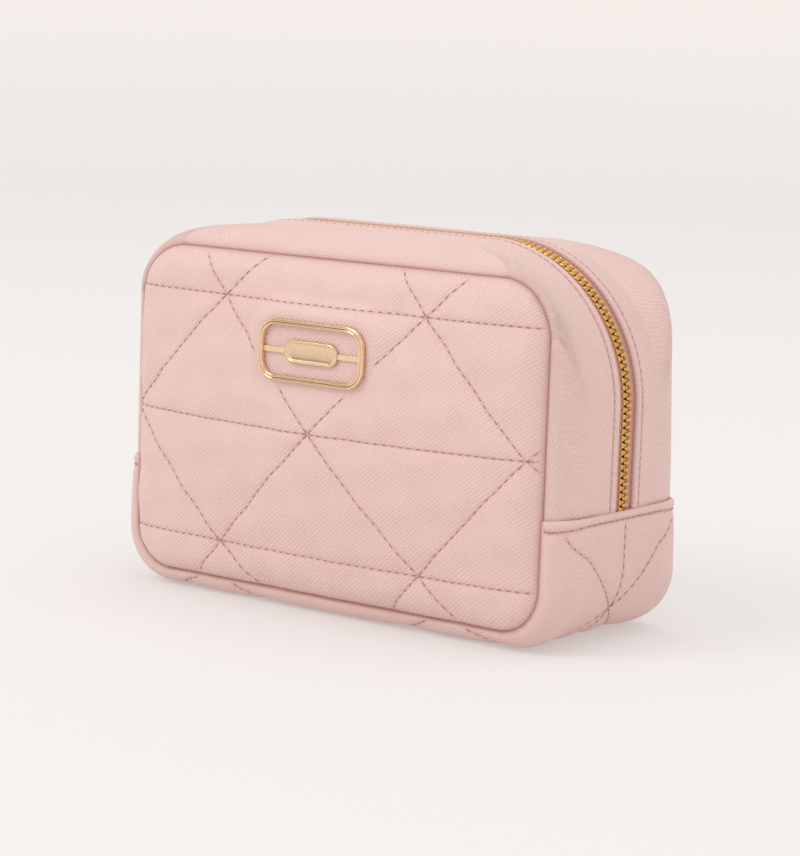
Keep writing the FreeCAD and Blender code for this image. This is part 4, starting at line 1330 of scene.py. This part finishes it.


# The colour in the gaps is painted shade between the threads; handled patches are drawn towards it too.
CLOTHS = {                            # colour, colour in the gaps, pitch, depth, roughness, sheen
    "thread_rose": ((0.62, 0.27, 0.245), (0.46, 0.17, 0.155), 0.0007, 0.00006, 0.55, 0.1),
    "thread_pale": ((0.70, 0.42, 0.39), (0.56, 0.29, 0.27), 0.0007, 0.00006, 0.55, 0.1),
    "tape_pink": ((0.72, 0.42, 0.40), (0.50, 0.25, 0.24), 0.0009, 0.0001, 0.8, 0.25),
    "binding_pink": ((0.70, 0.45, 0.42), (0.52, 0.29, 0.27), 0.0008, 0.0001, 0.8, 0.25),
    "lining_rose": ((0.66, 0.44, 0.42), (0.50, 0.31, 0.30), 0.0005, 0.00004, 0.6, 0.35),
    "lining_base": ((0.66, 0.44, 0.42), (0.50, 0.31, 0.30), 0.0005, 0.00004, 0.6, 0.35),
}
cloths = {name: cloth_material(name, *values) for name, values in CLOTHS.items()}
print("cloth materials:", list(cloths))

# %% [markdown]
# The metal is plated. The badge's ring is polished, its tablet is satin, and the zip is a deeper gold
# with more scuffs. One metallic shader does all three, and only the values differ.

# %% The three golds
def metal_material(name, colour, deep, roughness, scuff):
    material, tree, shader = new_material(name, Metallic=1.0)
    solid = coordinates(tree, "Object")
    marks = place_group(tree, scuffs, Vector=solid, Amount=scuff)
    touch = place_group(tree, handling, Vector=solid, Scale=60.0)
    put(tree, mixed(tree, touch["Patches"], colour, deep), shader.inputs["Base Color"])
    put(tree, plus(tree, roughness, marks["Roughness"]), shader.inputs["Roughness"])
    bump(tree, shader, marks["Height"], 0.000006, 0.5)
    return material


METALS = {                            # colour, colour where handled, roughness, scuffs
    "gold_polished": ((0.92, 0.71, 0.50, 1), (0.84, 0.60, 0.38, 1), 0.07, 0.10),
    "gold_satin": ((0.90, 0.69, 0.48, 1), (0.82, 0.59, 0.37, 1), 0.16, 0.22),
    "gold_teeth": ((0.82, 0.52, 0.18, 1), (0.60, 0.33, 0.09, 1), 0.20, 0.22),
}
golds = {name: metal_material(name, *values) for name, values in METALS.items()}
print("metals:", list(golds))

# %% [markdown]
# ## Put it together
# Every piece gets its material. The badge's pieces ride on the body `front_flap`, the other pieces
# with no side in their name ride on `bag`, and those of the front and rear are baked in place.

# %% Finishes, slots and bodies
FINISHES = (                          # part of a piece's name, material, slot
    ("strip_stitches", cloths["thread_pale"], "coated_leather"),
    ("stitches", cloths["thread_rose"], "coated_leather"),
    ("lining", cloths["lining_rose"], "lining_cloth"),
    ("zip_tape", cloths["tape_pink"], "zip_tape"),
    ("teeth", golds["gold_teeth"], "zip_metal"),
    ("binding", cloths["binding_pink"], "binding_tape"),
    ("tablet", golds["gold_satin"], "badge_metal"),
    ("badge", golds["gold_polished"], "badge_metal"),
    ("", leather_pink, "coated_leather"),
)
for name, piece in pieces.items():
    material, slot = next((m, s) for part, m, s in FINISHES if part in name)
    piece.data.materials.append(material)
    side = name.split("_")[0]
    if side in SIDES:
        bend_with_flap(piece)
    else:
        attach(piece, "front_flap" if "badge" in name else "bag")

CAD_FINISHES = {"badge": golds["gold_polished"], "zip": golds["gold_teeth"],
                "base": cloths["lining_base"]}
for name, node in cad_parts.items():
    if not node.hide_render:
        for place in node.material_slots:
            place.material = CAD_FINISHES[name.split("_")[0]]
        print("kept from the CAD:", name)

# %% [markdown]
# ## The stage
# A pale floor curves up into a pale wall all round, far enough away that every view has the same
# backdrop. The paper gives off a little light of its own, painted light that lightens the contact
# shadow.
# Light comes from a large soft lamp high on the left in front, a weaker one overhead and one on the
# right, with an even sky as fill.

# %% The floor and the backdrop
FLOOR_REACH, FLOOR_CURVE, WALL_TOP = 3.2, 1.0, 1.7


def make_backdrop():
    profile = [(0.0, 0.0), (0.5, 0.0), (1.5, 0.0), (FLOOR_REACH - FLOOR_CURVE, 0.0)]
    for angle in np.radians(np.linspace(10, 90, 9)):
        profile.append((FLOOR_REACH - FLOOR_CURVE + FLOOR_CURVE * math.sin(angle),
                        FLOOR_CURVE - FLOOR_CURVE * math.cos(angle)))
    profile.append((FLOOR_REACH, WALL_TOP))
    turns = np.arange(96) * 2 * math.pi / 96
    ring = len(turns)
    points = [(r * math.cos(t), r * math.sin(t), z) for r, z in profile[1:] for t in turns]
    points.append((0, 0, 0))
    faces = [[step * ring + i, step * ring + (i + 1) % ring, (step + 1) * ring + (i + 1) % ring,
              (step + 1) * ring + i] for step in range(len(profile) - 2) for i in range(ring)]
    faces += [[i, (i + 1) % ring, len(points) - 1][::-1] for i in range(ring)]
    mesh = bpy.data.meshes.new("backdrop")
    mesh.from_pydata(points, [], faces)
    mesh.polygons.foreach_set("use_smooth", [True] * len(mesh.polygons))
    backdrop = bpy.data.objects.new("backdrop", mesh)
    bpy.context.scene.collection.objects.link(backdrop)
    return backdrop


backdrop = make_backdrop()
# The emission is painted light: the paper glows so that the shadows on it are lighter.
glowing_paper, tree, shader = new_material("studio_paper", Roughness=0.9, Specular_IOR_Level=0.2,
                                   Emission_Color=(0.99, 0.98, 0.96, 1), Emission_Strength=0.335)
place = coordinates(tree, "Object")
faint = clouds(tree, place, 3.0)
levels = tree.nodes.new("ShaderNodeSeparateXYZ")
put(tree, place, levels.inputs[0])
up_wall = maths(tree, "MINIMUM", times(tree, levels.outputs[2], 4.0), 1.0)
sheet_tone = mixed(tree, faint, (0.524, 0.505, 0.499, 1), (0.515, 0.496, 0.490, 1))
put(tree, mixed(tree, up_wall, sheet_tone, (0.605, 0.562, 0.540, 1)), shader.inputs["Base Color"])
backdrop.data.materials.append(glowing_paper)
print("backdrop reaches", FLOOR_REACH, "m")

# %% [markdown]
# Polished metal shows what is round it, and in an all-pale room it would look flat. A few dark cards
# that only gloss can see stand beside the lamps, as a product studio would set them.

# %% Lights
def soft_lamp(name, place, target, size, power, colour=(1, 1, 1)):
    lamp = bpy.data.lights.new(name, "AREA")
    lamp.shape, lamp.size, lamp.energy, lamp.color = "DISK", size, power, colour
    holder = bpy.data.objects.new(name, lamp)
    bpy.context.scene.collection.objects.link(holder)
    holder.location = place
    aim = np.array(target) - np.array(place)
    holder.rotation_euler = (math.atan2(math.hypot(aim[0], aim[1]), -aim[2]), 0,
                             math.atan2(aim[1], aim[0]) - math.pi / 2)
    return holder


def dark_card(name, place, width, height):
    """A black card that only gloss sees. It gives polished metal something dark to reflect."""
    mesh = bpy.data.meshes.new(name)
    mesh.from_pydata([(-width / 2, 0, -height / 2), (width / 2, 0, -height / 2),
                      (width / 2, 0, height / 2), (-width / 2, 0, height / 2)], [], [(0, 1, 2, 3)])
    mesh.materials.append(card_black)
    card = bpy.data.objects.new(name, mesh)
    bpy.context.scene.collection.objects.link(card)
    card.location = place
    card.rotation_euler = (0, 0, math.atan2(place[1], place[0]) - math.pi / 2)
    card.visible_camera = card.visible_diffuse = card.visible_shadow = False


card_black, tree, shader = new_material("card_black", Roughness=0.8)
dust = clouds(tree, coordinates(tree, "Object"), 8.0)
card_tone = mixed(tree, dust, (0.012, 0.010, 0.009, 1), (0.03, 0.026, 0.022, 1))
put(tree, card_tone, shader.inputs["Base Color"])
dark_card("card_left", (-1.15, -1.45, 0.15), 0.34, 1.5)
dark_card("card_front", (-0.25, -1.8, -0.1), 0.22, 1.2)
dark_card("card_right", (1.9, -0.55, 0.2), 0.4, 1.2)
dark_card("card_over", (-0.4, -1.5, 1.1), 0.9, 0.12)

middle = (cad_low + cad_high) / 2
soft_lamp("key", (-1.0, -1.9, 1.9), middle, 1.5, 20.0, (1.0, 0.985, 0.97))
soft_lamp("top", (0.3, 0.4, 2.6), middle, 1.8, 9.0)
soft_lamp("side", (2.2, -0.9, 1.2), middle, 1.4, 3.2, (1.0, 0.98, 0.97))
world = bpy.data.worlds.new("studio")
world.use_nodes = True
world.node_tree.nodes["Background"].inputs[0].default_value = (1.0, 0.985, 0.975, 1)
world.node_tree.nodes["Background"].inputs[1].default_value = 0.82
bpy.context.scene.world = world
bpy.context.scene.view_settings.view_transform = "Standard"

# %% [markdown]
# The camera stands in front, to the right of the bag and a little above it, with a long lens, and it
# is tipped by two degrees.

# %% The camera
CAMERA_PLACE = (0.66044, -0.86982, 0.22785)
CAMERA_TURN, CAMERA_DIP, CAMERA_TIP = 37.18, 8.354, 2.02    # degrees
LENS = 121.76                         # mm, on a 36 mm sensor

camera = bpy.data.objects.new("camera", bpy.data.cameras.new("camera"))
bpy.context.scene.collection.objects.link(camera)
camera.data.lens, camera.data.sensor_width = LENS, 36
camera.data.clip_start, camera.data.clip_end = 0.05, 50
camera.location = CAMERA_PLACE
turn, dip = math.radians(CAMERA_TURN), math.radians(CAMERA_DIP)
right = Vector((math.cos(turn), math.sin(turn), 0))
ahead = Vector((-math.sin(turn) * math.cos(dip), math.cos(turn) * math.cos(dip), -math.sin(dip)))
level = Matrix((right, right.cross(ahead), -ahead)).transposed()
tipped = level @ Matrix.Rotation(math.radians(CAMERA_TIP), 3, "Z")
camera.rotation_euler = tipped.to_euler()
bpy.context.scene.camera = camera
print("camera at", [round(c, 3) for c in camera.location])
